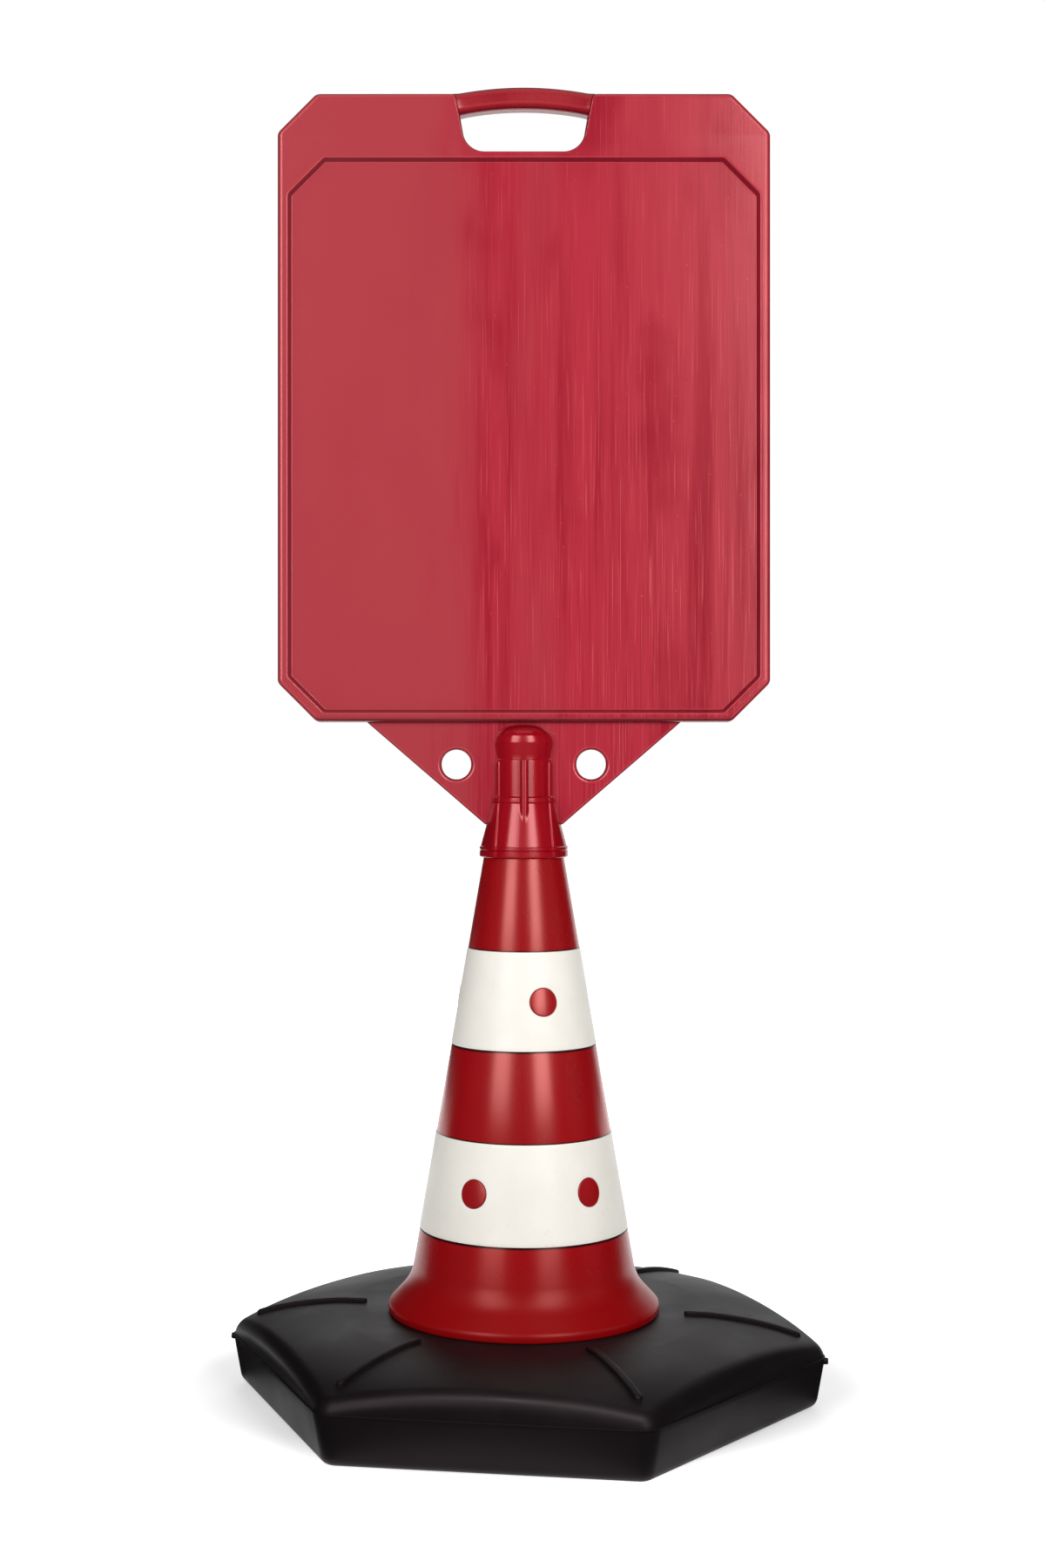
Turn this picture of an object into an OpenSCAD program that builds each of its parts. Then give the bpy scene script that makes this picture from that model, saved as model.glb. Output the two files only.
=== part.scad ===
// Cone sign: a hollow moulded sign board that plugs onto the tip of a traffic cone on a ballast base.
// Millimetres, +Z up, origin on the ground under the middle of the base. The board faces -Y.

/* [Base] */
// Distance across two opposite rounded corners at the parting line
base_across = 446; // [400:1:520]
// How far the base is turned under the sign, in degrees
base_turn = -9; // [-30:0.5:30]
// Radius of the upright corners
base_corner_r = 18; // [10:1:30]
// Height of the parting line
parting_h = 34; // [24:1:40]
// How far the side leans in from the parting line to the ground
side_draft = 6; // [2:0.5:10]
// Radius of the edge at the ground
foot_edge_r = 8; // [2:0.5:10]
// Radius of the edge between side and top
top_edge_r = 14; // [6:1:16]
// Height of the crowned top at its middle over the seat, before the seat is cut flat
crown_rise = 2; // [0.5:0.5:6]
// How far the crowned top falls from its middle to the corners
crown_drop = 22; // [12:0.5:26]
// How late the crowned top falls: 2 is an even curve, and a higher power stays flat for longer
crown_power = 5; // [2:0.5:8]
// Wall of the base shell
base_wall = 4; // [3:0.5:6]
// Height of the cone's seat above the ground
seat_h = 64; // [58:0.5:70]
// Width of the seat beyond the cone's foot
seat_margin = 2.5; // [1:0.5:6]
// Radius of the ring that centres the cone's foot
locating_r = 60; // [45:1:62]
// Height of that ring above the seat
locating_h = 10; // [5:1:14]

/* [Base details] */
// Distance from the axis to the inner end of a rib
rib_start = 120; // [112:1:150]
// Distance from a corner of the base in to the outer end of its rib
rib_in = 17; // [15:1:40]
// Width of a rib
rib_w = 10; // [6:1:16]
// Height of a rib above the crowned top
rib_rise = 3; // [1.5:0.5:5]
// How far the moulding line stands out
flash_out = 0.8; // [0.4:0.1:1.5]
// Height of the moulding line
flash_h = 1; // [0.6:0.1:2]
// Radius of a pinch-off nub
nub_r = 2.5; // [1.5:0.5:4]
// How far a pinch-off nub stands out
nub_out = 3; // [1:0.5:5]
// Gap round the ballast
ballast_gap = 0.3; // [0.2:0.1:0.8]
// Room left in the ballast under the filler plug
ballast_room = 4; // [1:0.5:10]

/* [Filler] */
// Radius of the filler hole
filler_r = 14; // [10:0.5:18]
// Distance from the base's flat side in to the middle of the filler
filler_in = 49.5; // [45:0.5:58]
// Wall of the filler neck
filler_wall = 6; // [4:0.5:8]
// Height of the neck's flat top over the cone's seat
filler_rise = 2; // [0.5:0.5:5]
// Thickness of the plug's flange
plug_flange_t = 4; // [2.5:0.5:6]
// Length of the plug's shank
plug_shank = 16; // [10:1:20]
// Wall of the plug's hollow shank
plug_wall = 3; // [2:0.5:4]
// Gap between shank and hole
plug_gap = 0.3; // [0.2:0.05:0.5]
// Width of the finger bar across the plug
plug_bar_w = 5; // [3:0.5:8]

/* [Fixing screws] */
// Distance from the axis to a screw
screw_place = 76; // [72:1:80]
// How many screws hold the cone
screw_count = 4; // [3:1:6]
// Radius of a screw's shank
screw_r = 3; // [2.5:0.25:4]
// Length of a screw under its washer
screw_len = 24; // [20:1:28]
// Radius of a screw's head
screw_head_r = 6; // [5:0.5:7]
// Height of a screw's head
screw_head_h = 4.5; // [3:0.5:6]
// Radius of the hexagon socket in the head, over its corners
screw_socket_r = 3; // [2:0.25:3.5]
// Radius of a washer
washer_r = 9; // [8:0.5:10]
// Thickness of a washer
washer_t = 1.6; // [1:0.2:2.5]
// Radius of the pocket that hides the head
pocket_r = 11; // [10.5:0.5:12]
// Thickness of the base between pocket and seat
pocket_roof = 10; // [8:0.5:14]
// Gap between a screw and the holes it passes
screw_gap = 0.05; // [0.03:0.01:0.08]

/* [Cone] */
// Height of the cone from its seat to its shoulder
cone_h = 352; // [320:1:420]
// Radius of the cone at its shoulder
cone_top_r = 27.8; // [26:0.1:32]
// Radius that the straight side would have at the seat
cone_low_r = 88.5; // [86:0.5:92]
// Wall of the cone
cone_wall = 3.5; // [3:0.25:5]
// Radius of the bell-shaped foot
foot_r = 101.5; // [99:0.5:106]
// Height at which the side starts to flare
foot_flare_h = 22; // [18:0.5:30]
// Height of the foot's lip
foot_lip_h = 5; // [4:0.5:8]
// Radius of the hollow curve into the foot
foot_hollow_r = 14; // [8:1:18]
// Radius of the lip's round edge
foot_edge_round = 5; // [2:0.5:6]
// Thickness of the inner flange
flange_t = 4; // [3:0.5:6]
// Gap between the flange and the locating ring
flange_gap = 0.4; // [0.2:0.1:1]
// Height of the screw bosses
boss_h = 20; // [18:1:24]
// Wall of the screw bosses
boss_wall = 4; // [3:0.5:5]

/* [Spigot] */
// Radius of the spigot on the cone's tip
spigot_r = 18.5; // [17:0.1:19]
// Length of the spigot above the shoulder
spigot_len = 56; // [48:1:58]
// Radius of the hole down the spigot
spigot_bore_r = 11; // [8:0.5:11.5]
// Height of the grip ring above the shoulder
ring_place = 42; // [36:1:46]
// Thickness of the grip ring's cord
ring_cord = 3.6; // [3:0.1:4]
// Gap between the grip ring and what it turns in or slides in
ring_gap = 0.1; // [0.05:0.01:0.2]

/* [White sleeves] */
// Height of each sleeve
sleeve_h = 72; // [60:1:76]
// Thickness of the sleeves
sleeve_t = 1.5; // [1.3:0.1:2]
// How far the sleeves stand proud of the cone
sleeve_proud = 0.4; // [0.2:0.1:0.8]
// Gap between a sleeve and its seat
sleeve_gap = 0.1; // [0.05:0.05:0.2]
// Height of the lower sleeve's bottom above the seat
lower_sleeve_place = 62; // [50:1:70]
// Height of the upper sleeve's bottom above the seat
upper_sleeve_place = 199; // [190:1:230]
// Radius of the locating bosses
stud_r = 10.2; // [7:0.1:12]
// How far the bosses stand proud of the cone
stud_proud = 0.8; // [0.5:0.1:1.5]
// Gap between a boss and the hole in its sleeve
stud_gap = 0.4; // [0.2:0.1:0.8]
// How many bosses hold the upper sleeve
upper_studs = 3; // [2:1:5]
// How many bosses hold the lower sleeve
lower_studs = 5; // [3:1:6]
// Turn of the first upper boss from the front
upper_stud_turn = 16.5; // [0:0.5:60]
// Turn of the first lower boss from the front
lower_stud_turn = 40.5; // [0:0.5:60]

/* [Sign board] */
// Width of the board
board_w = 368; // [320:1:440]
// Height of the board
board_h = 469; // [400:1:560]
// Thickness of the board
board_t = 24; // [20:1:32]
// Leg of the cut corners
board_cut = 29; // [20:1:45]
// Radius at each end of a cut corner
board_round = 7; // [4:1:12]
// Softening of the board's edge
board_edge = 3; // [2:0.5:4]
// Wall of the hollow board
board_wall = 3; // [2:0.5:4]
// Width of the rim beside the panel
rim_side = 7.5; // [5:0.5:12]
// Width of the rim below the panel
rim_low = 6.5; // [5:0.5:12]
// Width of the rim above the panel
rim_top = 48; // [45:1:60]
// Leg of the panel's cut corners
panel_cut = 27; // [15:1:35]
// Depth of the panel below the rim
panel_depth = 4; // [2:0.5:5]
// Run of the sloping step down to the panel
panel_slope = 3.5; // [1:0.5:5]
// Gap between the top of the socket and the board
board_gap = 2.5; // [1:0.5:6]

/* [Carrying grip] */
// Height of the grip's crest above the board
grip_rise = 6; // [3:0.5:10]
// Length of the grip's arch, along the board's top edge
grip_span = 111; // [106:1:130]
// Height of the grip bar
grip_h = 16.5; // [14:0.5:22]
// Depth of the grip bar
grip_d = 20; // [16:0.5:20]
// Radius of the grip bar's edges
grip_edge_r = 7; // [3:0.5:8.5]
// Width of the hand slot at the board's top edge
slot_top_w = 101; // [90:1:104]
// Width of the hand slot at its floor
slot_floor_w = 86; // [70:1:90]
// Depth of the hand slot's floor below the board's top edge
slot_deep = 43; // [38:0.5:44]
// Radius of the slot's lower corners
slot_r = 16; // [8:1:18]

/* [Web] */
// Width of the web where it meets the board
web_top_w = 236; // [200:1:260]
// Width of the web at its lower end
web_low_w = 58; // [56:1:66]
// Height of the web
web_h = 77; // [70:1:80]
// Thickness of the web
web_t = 12; // [8:0.5:16]
// Softening of the web's edge
web_edge = 2.5; // [1:0.5:3.5]
// Radius of the two holes
web_hole_r = 11; // [6:0.5:13]
// Distance between the two holes
web_hole_apart = 101; // [90:1:110]
// Distance from the board down to the holes
web_hole_drop = 32; // [24:1:36]

/* [Socket] */
// How far the socket's mouth reaches below the cone's shoulder
skirt_len = 13; // [8:1:20]
// Wall of the socket round the cone
skirt_wall = 1.5; // [1:0.1:3]
// Gap between socket and cone
slide_gap = 0.3; // [0.2:0.05:0.6]
// Height of the ring at the socket's mouth
mouth_ring_h = 7; // [4:0.5:9]
// How far the mouth's ring stands out
mouth_ring_out = 0.5; // [0.3:0.1:1.5]
// Height from the mouth to the collar
flare_h = 41; // [36:1:46]
// Radius of the flare under the collar
flare_top_r = 22.4; // [22:0.1:25]
// Height of the collar
collar_h = 4; // [2:0.5:6]
// How far the collar stands out
collar_out = 0.8; // [0.4:0.1:1.5]
// Length of the neck above the collar
neck_len = 27.5; // [22:0.5:32]
// Wall of the neck
neck_wall = 2.3; // [1.8:0.1:3]
// Height of the waist between neck and dome
waist_h = 3; // [2:0.5:5]
// Wall at the waist
waist_wall = 1.4; // [1.2:0.1:1.8]
// Wall at the dome's widest point
dome_wall = 3.2; // [2.5:0.1:4]
// Height of the dome above the neck
dome_h = 26; // [22:0.5:32]
// Radius of the dome's shoulder
dome_round = 12; // [8:0.5:13]
// How far the side cheeks stand out
cheek_out = 0.9; // [0.5:0.1:1.5]
// Half the width between the cheeks at the neck
cheek_neck_x = 18.3; // [16:0.1:19.5]
// Half the width between the cheeks at the mouth
cheek_mouth_x = 21.5; // [18:0.5:26]
// Radius of the rib down the front and the back of the neck
neck_rib_r = 3.25; // [2:0.25:4]
// How far that rib reaches from the axis
neck_rib_reach = 26; // [24:0.25:26]
// How far the rib runs down below the collar
neck_rib_drop = 14; // [4:1:16]

/* [Hidden] */
$fn = 96;
arc_steps = 8;
crown_steps = 20;
edge_steps = 4;
thin = 0.01;
over = 1;
sides = 6;
side_angle = 360 / sides;

// Heights of the stack, from the ground up
shoulder_z = seat_h + cone_h;
mouth_z = shoulder_z - skirt_len;
collar_z = mouth_z + flare_h;
neck_z = collar_z + collar_h;
dome_z = neck_z + neck_len;
socket_top_z = dome_z + dome_h;
board_z = socket_top_z + board_gap;
board_top_z = board_z + board_h;
pocket_top_z = seat_h - pocket_roof;
filler_h = seat_h + filler_rise;
crown_h = seat_h + crown_rise;
screw_tip_z = pocket_top_z - washer_t + screw_len;

// Radii that follow from the driving sizes
cone_slope = (cone_low_r - cone_top_r) / cone_h;
hex_r = base_across / 2 + base_corner_r * (1 / cos(side_angle / 2) - 1);
rib_end = base_across / 2 - rib_in;
filler_place = hex_r * cos(side_angle / 2) - filler_in;
socket_bore_r = spigot_r + slide_gap;
ring_r = socket_bore_r - ring_gap - ring_cord / 2;
groove_r = ring_r - ring_cord / 2 - ring_gap;
neck_r = socket_bore_r + neck_wall;
dome_r = socket_bore_r + dome_wall;
skirt_r = cone_r(mouth_z) + slide_gap + skirt_wall;
column_r = pocket_r + base_wall;
seat_flat_r = base_across / 2 * pow(crown_rise / crown_drop, 1 / crown_power);
crown_reach = base_across / 2 + top_edge_r;
sleeve_sink = sleeve_t - sleeve_proud;
stud_reach = 2 * stud_r;

// Arch of the grip: a circle through its crest and its two ends on the board's top edge
arch_r = (pow(grip_span / 2, 2) + pow(grip_rise, 2)) / (2 * grip_rise);
arch_z = board_top_z + grip_rise - arch_r;
arch_half = asin((grip_span / 2 + board_edge) / (arch_r - grip_h / 2));

// Radius of the cone's straight side at height z
function cone_r(z) = cone_top_r + (shoulder_z - z) * cone_slope;

// Height of the crowned top at distance d from the axis
function crown_z(d) = crown_h - crown_drop * pow(2 * d / base_across, crown_power);

// Height at which the edge between side and top would end: just over the crown, midway along a side
top_edge_h = crown_z(hex_r * cos(side_angle / 2) - top_edge_r) + over;

function unit(v) = v / norm(v);
function turned(v, a) = [v.x * cos(a) - v.y * sin(a), v.x * sin(a) + v.y * cos(a)];

// Arc that rounds the corner at b, between the straight runs from a and to c
function round_at(a, b, c, r) =
  let (
    u = unit(a - b),
    v = unit(c - b),
    half = acos(u * v) / 2,
    centre = b + unit(u + v) * r / sin(half),
    start = b + u * r / tan(half) - centre,
    turn = (cross(b - a, c - b) > 0 ? 1 : -1) * (180 - 2 * half)
  )
  r <= 0 ? [b] : [for (i = [0 : arc_steps]) centre + turned(start, turn * i / arc_steps)];

// Closed outline whose corners are each rounded by their own radius
function rounded(pts, radii) =
  let (n = len(pts))
  [for (i = [0 : n - 1]) each round_at(pts[(i + n - 1) % n], pts[i], pts[(i + 1) % n], radii[i])];

// Rounded hexagon, moved in from the base's outline at the parting line
function hexagon(inset) =
  let (
    r = hex_r - inset / cos(side_angle / 2),
    corner = max(base_corner_r - inset, 1)
  )
  rounded(
    [for (k = [0 : sides - 1]) r * [cos(k * side_angle), sin(k * side_angle)]],
    [for (k = [0 : sides - 1]) corner]
  );

// Rectangle with cut corners, drawn in X and Z
function cut_box(half_w, low, high, cut) = [
  [-half_w + cut, low], [half_w - cut, low], [half_w, low + cut], [half_w, high - cut],
  [half_w - cut, high], [-half_w + cut, high], [-half_w, high - cut], [-half_w, low + cut]
];

// How much the leg of a cut corner shrinks when the outline moves in
function cut_inset(cut, inset) = cut - inset * (2 - sqrt(2));

// Outline of the board, moved in by inset
function board_outline(inset) = rounded(
  cut_box(board_w / 2 - inset, board_z + inset, board_top_z - inset, cut_inset(board_cut, inset)),
  [for (k = [0 : 7]) max(board_round - inset, 1)]
);

// Outline of the panel, moved in from the rim by inset
function panel_outline(inset) = cut_box(
  board_w / 2 - rim_side - inset, board_z + rim_low + inset,
  board_top_z - rim_top - inset, cut_inset(panel_cut, inset)
);

// Outline of the web, moved in by inset
function web_outline(inset) = [
  [-web_low_w / 2 + inset, board_z - web_h], [web_low_w / 2 - inset, board_z - web_h],
  [web_top_w / 2 - inset, board_z], [web_top_w / 2 - inset, board_z + rim_low],
  [-web_top_w / 2 + inset, board_z + rim_low], [-web_top_w / 2 + inset, board_z]
];

// Slab of an outline in X and Z, centred on the plane of the board
module upright(t) {
  rotate([90, 0, 0])
    linear_extrude(height = t, center = true)
      children();
}

// Copies round the axis at the fixing screws
module at_screws() {
  for (k = [0 : screw_count - 1])
    rotate(base_turn + (k + 0.5) * 360 / screw_count)
      translate([screw_place, 0, 0])
        children();
}

// The filler's place behind the cone, midway between two ribs
module at_filler() {
  rotate(base_turn + 1.5 * side_angle)
    translate([filler_place, 0, 0])
      children();
}

// Everything under the crowned top, raised by rise, with the top cut flat at the cone's seat
module crowned(rise) {
  step = (crown_reach - seat_flat_r) / crown_steps;
  rotate_extrude()
    polygon([
      [0, -over],
      [crown_reach, -over],
      for (i = [crown_steps : -1 : 0])
        [seat_flat_r + i * step, crown_z(seat_flat_r + i * step) + rise],
      [0, seat_h + rise]
    ]);
}

// How far the side leans in at height z
function draft_at(z) = side_draft * (1 - z / parting_h);

// Heights and insets of the base's side, from the ground up, with rounds at the ground and into the top
function base_rings(inset, flash) = [
  for (i = [0 : edge_steps])
    let (a = 90 * i / edge_steps, z = foot_edge_r * (1 - cos(a)))
    [z + inset, draft_at(z) + foot_edge_r * (1 - sin(a)) + inset],
  [parting_h - flash_h / 2, inset],
  each flash ? [[parting_h - flash_h / 2, -flash_out], [parting_h + flash_h / 2, -flash_out]] : [],
  [parting_h + flash_h / 2, inset],
  for (i = [0 : edge_steps])
    let (a = 90 * i / edge_steps)
    [top_edge_h - top_edge_r * (1 - sin(a)), inset + top_edge_r * (1 - cos(a))],
  [crown_h + over, inset + top_edge_r]
];

// Hexagonal body through the given heights and insets
module hexagon_loft(rings) {
  n = len(hexagon(0));
  last = len(rings) - 1;
  polyhedron(
    points = [for (ring = rings) for (p = hexagon(ring[1])) [p.x, p.y, ring[0]]],
    faces = [
      [for (i = [0 : n - 1]) i],
      for (k = [0 : last - 1])
        for (i = [0 : n - 1])
          [k * n + i, (k + 1) * n + i, (k + 1) * n + (i + 1) % n, k * n + (i + 1) % n],
      [for (i = [n - 1 : -1 : 0]) last * n + i]
    ]
  );
}

// Body of the base under its crown, moved in by inset, with or without the moulding line
module base_body(inset, flash) {
  intersection() {
    hexagon_loft(base_rings(inset, flash));
    crowned(-inset);
  }
}

// One raised rib on the crowned top, along +X
module crown_rib() {
  intersection() {
    translate([0, 0, crown_z(rib_end) - base_wall])
      linear_extrude(height = crown_h)
        union() {
          translate([rib_start + rib_w / 2, -rib_w / 2])
            square([rib_end - rib_start - rib_w, rib_w]);
          for (d = [rib_start + rib_w / 2, rib_end - rib_w / 2])
            translate([d, 0])
              circle(d = rib_w);
        }
    crowned(rib_rise);
  }
}

// Nubs where the mould pinched the tube off, at two opposite corners
module pinch_nubs() {
  for (k = [0, 1])
    rotate(k * 180)
      translate([base_across / 2 - base_wall / 2, 0, parting_h])
        rotate([0, 90, 0])
          cylinder(r = nub_r, h = base_wall / 2 + nub_out);
}

module base_shell() {
  color("#222224")
    difference() {
      union() {
        rotate(base_turn) {
          base_body(0, true);
          pinch_nubs();
          for (k = [0 : sides - 1])
            rotate(k * side_angle)
              crown_rib();
        }
        translate([0, 0, parting_h])
          cylinder(r = foot_r + seat_margin, h = seat_h - parting_h);
        translate([0, 0, seat_h - base_wall])
          cylinder(r = locating_r, h = base_wall + locating_h);
        at_filler()
          translate([0, 0, parting_h])
            cylinder(r = filler_r + filler_wall, h = filler_h - parting_h);
      }
      difference() {
        rotate(base_turn)
          base_body(base_wall, false);
        at_screws()
          cylinder(r = column_r, h = seat_h);
      }
      translate([0, 0, seat_h])
        cylinder(r = locating_r - base_wall, h = locating_h + over);
      at_screws() {
        translate([0, 0, -over])
          cylinder(r = pocket_r, h = pocket_top_z + over);
        cylinder(r = screw_r + screw_gap, h = seat_h + over);
      }
      at_filler()
        translate([0, 0, parting_h])
          cylinder(r = filler_r, h = filler_h - parting_h + over);
    }
}

module ballast_fill() {
  color("#8c8880")
    difference() {
      rotate(base_turn)
        base_body(base_wall + ballast_gap, false);
      at_screws()
        cylinder(r = column_r + ballast_gap, h = seat_h);
      at_filler()
        translate([0, 0, filler_h - plug_shank - ballast_room])
          cylinder(r = filler_r + filler_wall, h = seat_h);
    }
}

module filler_plug() {
  color("#2b2b2e")
    at_filler()
      difference() {
        union() {
          translate([0, 0, filler_h])
            cylinder(r = filler_r + filler_wall / 2, h = plug_flange_t);
          translate([0, 0, filler_h - plug_shank])
            cylinder(r = filler_r - plug_gap, h = plug_shank + thin);
        }
        translate([0, 0, filler_h - plug_shank - over])
          cylinder(r = filler_r - plug_gap - plug_wall, h = plug_shank + over);
        difference() {
          translate([0, 0, filler_h + plug_flange_t / 2])
            cylinder(r = filler_r - plug_wall, h = plug_flange_t);
          translate([-filler_r, -plug_bar_w / 2, filler_h])
            cube([2 * filler_r, plug_bar_w, 2 * plug_flange_t]);
        }
      }
}

module cone_fixing_screws() {
  color("#b4b7ba")
    at_screws()
      translate([0, 0, pocket_top_z - washer_t])
        difference() {
          union() {
            translate([0, 0, -screw_head_h])
              cylinder(r = screw_head_r, h = screw_head_h);
            translate([0, 0, -thin])
              cylinder(r = screw_r, h = screw_len + thin);
          }
          translate([0, 0, -screw_head_h - over])
            cylinder(r = screw_socket_r, h = screw_head_h / 2 + over, $fn = 6);
        }
}

module cone_fixing_washers() {
  color("#c4c6c8")
    at_screws()
      translate([0, 0, pocket_top_z - washer_t])
        difference() {
          cylinder(r = washer_r, h = washer_t);
          translate([0, 0, -over])
            cylinder(r = screw_r + screw_gap, h = washer_t + 2 * over);
        }
}

// Half section of the cone's outside from the foot's lip to the shoulder, sunk at the sleeve seats
function cone_side() =
  let (
    flare = [cone_r(seat_h + foot_flare_h), seat_h + foot_flare_h],
    lip = [foot_r, seat_h + foot_lip_h],
    low = lower_sleeve_place + seat_h,
    high = upper_sleeve_place + seat_h
  )
  [
    [foot_r, seat_h],
    each round_at([foot_r, seat_h], lip, flare, min(foot_edge_round, foot_lip_h)),
    each round_at(lip, flare, [cone_top_r, shoulder_z], foot_hollow_r),
    each sleeve_seat(low),
    each sleeve_seat(high),
    [cone_top_r, shoulder_z]
  ];

// Four corners of the shallow seat of a sleeve whose bottom lies at height z
function sleeve_seat(z) = [
  [cone_r(z), z], [cone_r(z) - sleeve_sink, z],
  [cone_r(z + sleeve_h) - sleeve_sink, z + sleeve_h], [cone_r(z + sleeve_h), z + sleeve_h]
];

// Ring between two cones that follow the straight side, from height z up
module side_ring(z, h, low_off, high_off) {
  rotate_extrude()
    polygon([
      [cone_r(z) + low_off, z], [cone_r(z) + high_off, z],
      [cone_r(z + h) + high_off, z + h], [cone_r(z + h) + low_off, z + h]
    ]);
}

// Copies of a round bar, square to the cone's side, at the middle height of a sleeve
module at_studs(z, count, first) {
  middle = z + sleeve_h / 2;
  for (k = [0 : count - 1])
    rotate(first + k * 360 / count - 90)
      translate([cone_r(middle), 0, middle])
        rotate([0, 90 - atan(cone_slope), 0])
          children();
}

// Locating bosses of one sleeve, curved as the cone is
module studs(z, count, first) {
  intersection() {
    side_ring(z, sleeve_h, -cone_wall / 2 - sleeve_sink, stud_proud);
    at_studs(z, count, first)
      cylinder(r = stud_r, h = stud_reach, center = true);
  }
}

module cone_body() {
  spigot_z = shoulder_z + spigot_len;
  ring_z = shoulder_z + ring_place;
  inside_foot = seat_h + flange_t;
  color("#9c1420")
    difference() {
      union() {
        rotate_extrude()
          polygon([
            each cone_side(),
            [spigot_r, shoulder_z],
            [spigot_r, ring_z - ring_cord / 2 - ring_gap],
            [groove_r, ring_z - ring_cord / 2 - ring_gap],
            [groove_r, ring_z + ring_cord / 2 + ring_gap],
            [spigot_r, ring_z + ring_cord / 2 + ring_gap],
            [spigot_r, spigot_z - over],
            [spigot_r - over, spigot_z],
            [spigot_bore_r, spigot_z],
            [spigot_bore_r, shoulder_z - cone_wall],
            [cone_r(shoulder_z - cone_wall) - cone_wall - sleeve_sink, shoulder_z - cone_wall],
            [cone_r(seat_h + foot_flare_h) - cone_wall - sleeve_sink, seat_h + foot_flare_h],
            [foot_r - cone_wall - foot_lip_h, inside_foot],
            [locating_r + flange_gap, inside_foot],
            [locating_r + flange_gap, seat_h]
          ]);
        at_screws()
          translate([0, 0, seat_h])
            cylinder(r = screw_r + boss_wall, h = boss_h);
        studs(seat_h + lower_sleeve_place, lower_studs, lower_stud_turn);
        studs(seat_h + upper_sleeve_place, upper_studs, upper_stud_turn);
      }
      at_screws()
        translate([0, 0, seat_h - over])
          cylinder(r = screw_r + screw_gap, h = screw_tip_z - seat_h + 2 * over);
    }
}

// White sleeve whose seat starts at height z
module sleeve(z, count, first) {
  color("#f4f2ea")
    difference() {
      side_ring(z + sleeve_gap, sleeve_h - 2 * sleeve_gap, sleeve_gap - sleeve_sink, sleeve_proud);
      at_studs(z, count, first)
        cylinder(r = stud_r + stud_gap, h = stud_reach, center = true);
    }
}

module lower_band() {
  sleeve(seat_h + lower_sleeve_place, lower_studs, lower_stud_turn);
}

module upper_band() {
  sleeve(seat_h + upper_sleeve_place, upper_studs, upper_stud_turn);
}

module grip_ring() {
  color("#1c1c1c")
    translate([0, 0, shoulder_z + ring_place])
      rotate_extrude()
        translate([ring_r, 0])
          circle(d = ring_cord, $fn = 48);
}

// Sunk panel on one face of the board: side is -1 for the front and 1 for the back
module panel_recess(side) {
  hull() {
    translate([0, side * (board_t / 2 + over / 2), 0])
      upright(over)
        polygon(panel_outline(0));
    translate([0, side * (board_t / 2 - panel_depth + thin / 2), 0])
      upright(thin)
        polygon(panel_outline(panel_slope));
  }
}

// Hand slot, cut up through the board's top edge so that the grip bar stands free
module hand_slot() {
  floor_z = board_top_z - slot_deep;
  lean = (slot_top_w - slot_floor_w) / 2 / slot_deep;
  top = board_top_z + over;
  top_x = slot_top_w / 2 + lean * over;
  upright(board_t + 2 * over)
    polygon(rounded(
      [[-slot_floor_w / 2, floor_z], [slot_floor_w / 2, floor_z], [top_x, top], [-top_x, top]],
      [slot_r, slot_r, 0, 0]
    ));
}

// Arched grip bar, a rounded section carried along the arch
module grip_bar() {
  translate([0, 0, arch_z])
    rotate([90, 0, 0])
      rotate(90 - arch_half)
        rotate_extrude(angle = 2 * arch_half)
          polygon(rounded(
            [
              [arch_r - grip_h, -grip_d / 2], [arch_r, -grip_d / 2],
              [arch_r, grip_d / 2], [arch_r - grip_h, grip_d / 2]
            ],
            [for (k = [0 : 3]) grip_edge_r]
          ));
}

// Space inside the board, behind both panels and beside the hand slot
module board_hollow() {
  panel_z = board_top_z - rim_top;
  upright(board_t - 2 * panel_depth - 2 * board_wall)
    intersection() {
      polygon(board_outline(board_edge + board_wall));
      translate([-board_w, board_z])
        square([2 * board_w, panel_z - board_z - board_wall]);
    }
  for (side = [-1, 1])
    upright(board_t - 2 * board_wall - 2 * board_edge)
      intersection() {
        polygon(board_outline(board_edge + board_wall));
        translate([side * (board_w + grip_span + 4 * board_wall) / 2 - board_w / 2, panel_z + board_wall])
          square([board_w, rim_top]);
      }
}

// Half section of the socket's outside, from the mouth to the top of the dome
function socket_side(out) = [
  [0, mouth_z],
  [skirt_r + mouth_ring_out + out, mouth_z],
  [skirt_r + mouth_ring_out + out, mouth_z + mouth_ring_h - mouth_ring_out],
  [skirt_r + out, mouth_z + mouth_ring_h],
  [flare_top_r + out, collar_z],
  [flare_top_r + collar_out + out, collar_z],
  [flare_top_r + collar_out + out, neck_z - collar_out],
  [neck_r + out, neck_z],
  [neck_r + out, dome_z]
];

// Outside of the dome above the neck
function dome_side() = [
  [socket_bore_r + waist_wall, dome_z],
  [socket_bore_r + waist_wall, dome_z + waist_h],
  [dome_r, socket_top_z - dome_round],
  each round_at(
    [dome_r, socket_top_z - dome_round - over], [dome_r, socket_top_z], [0, socket_top_z], dome_round
  ),
  [0, socket_top_z]
];

// Raised cheeks on the two sides of the socket
module socket_cheeks() {
  reach = 2 * skirt_r;
  intersection() {
    rotate_extrude()
      polygon([each socket_side(cheek_out), [0, dome_z]]);
    for (side = [-1, 1])
      upright(2 * reach)
        polygon([
          [side * cheek_neck_x, dome_z], [side * cheek_neck_x, neck_z],
          [side * cheek_mouth_x, mouth_z], [side * reach, mouth_z], [side * reach, dome_z]
        ]);
  }
}

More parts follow.
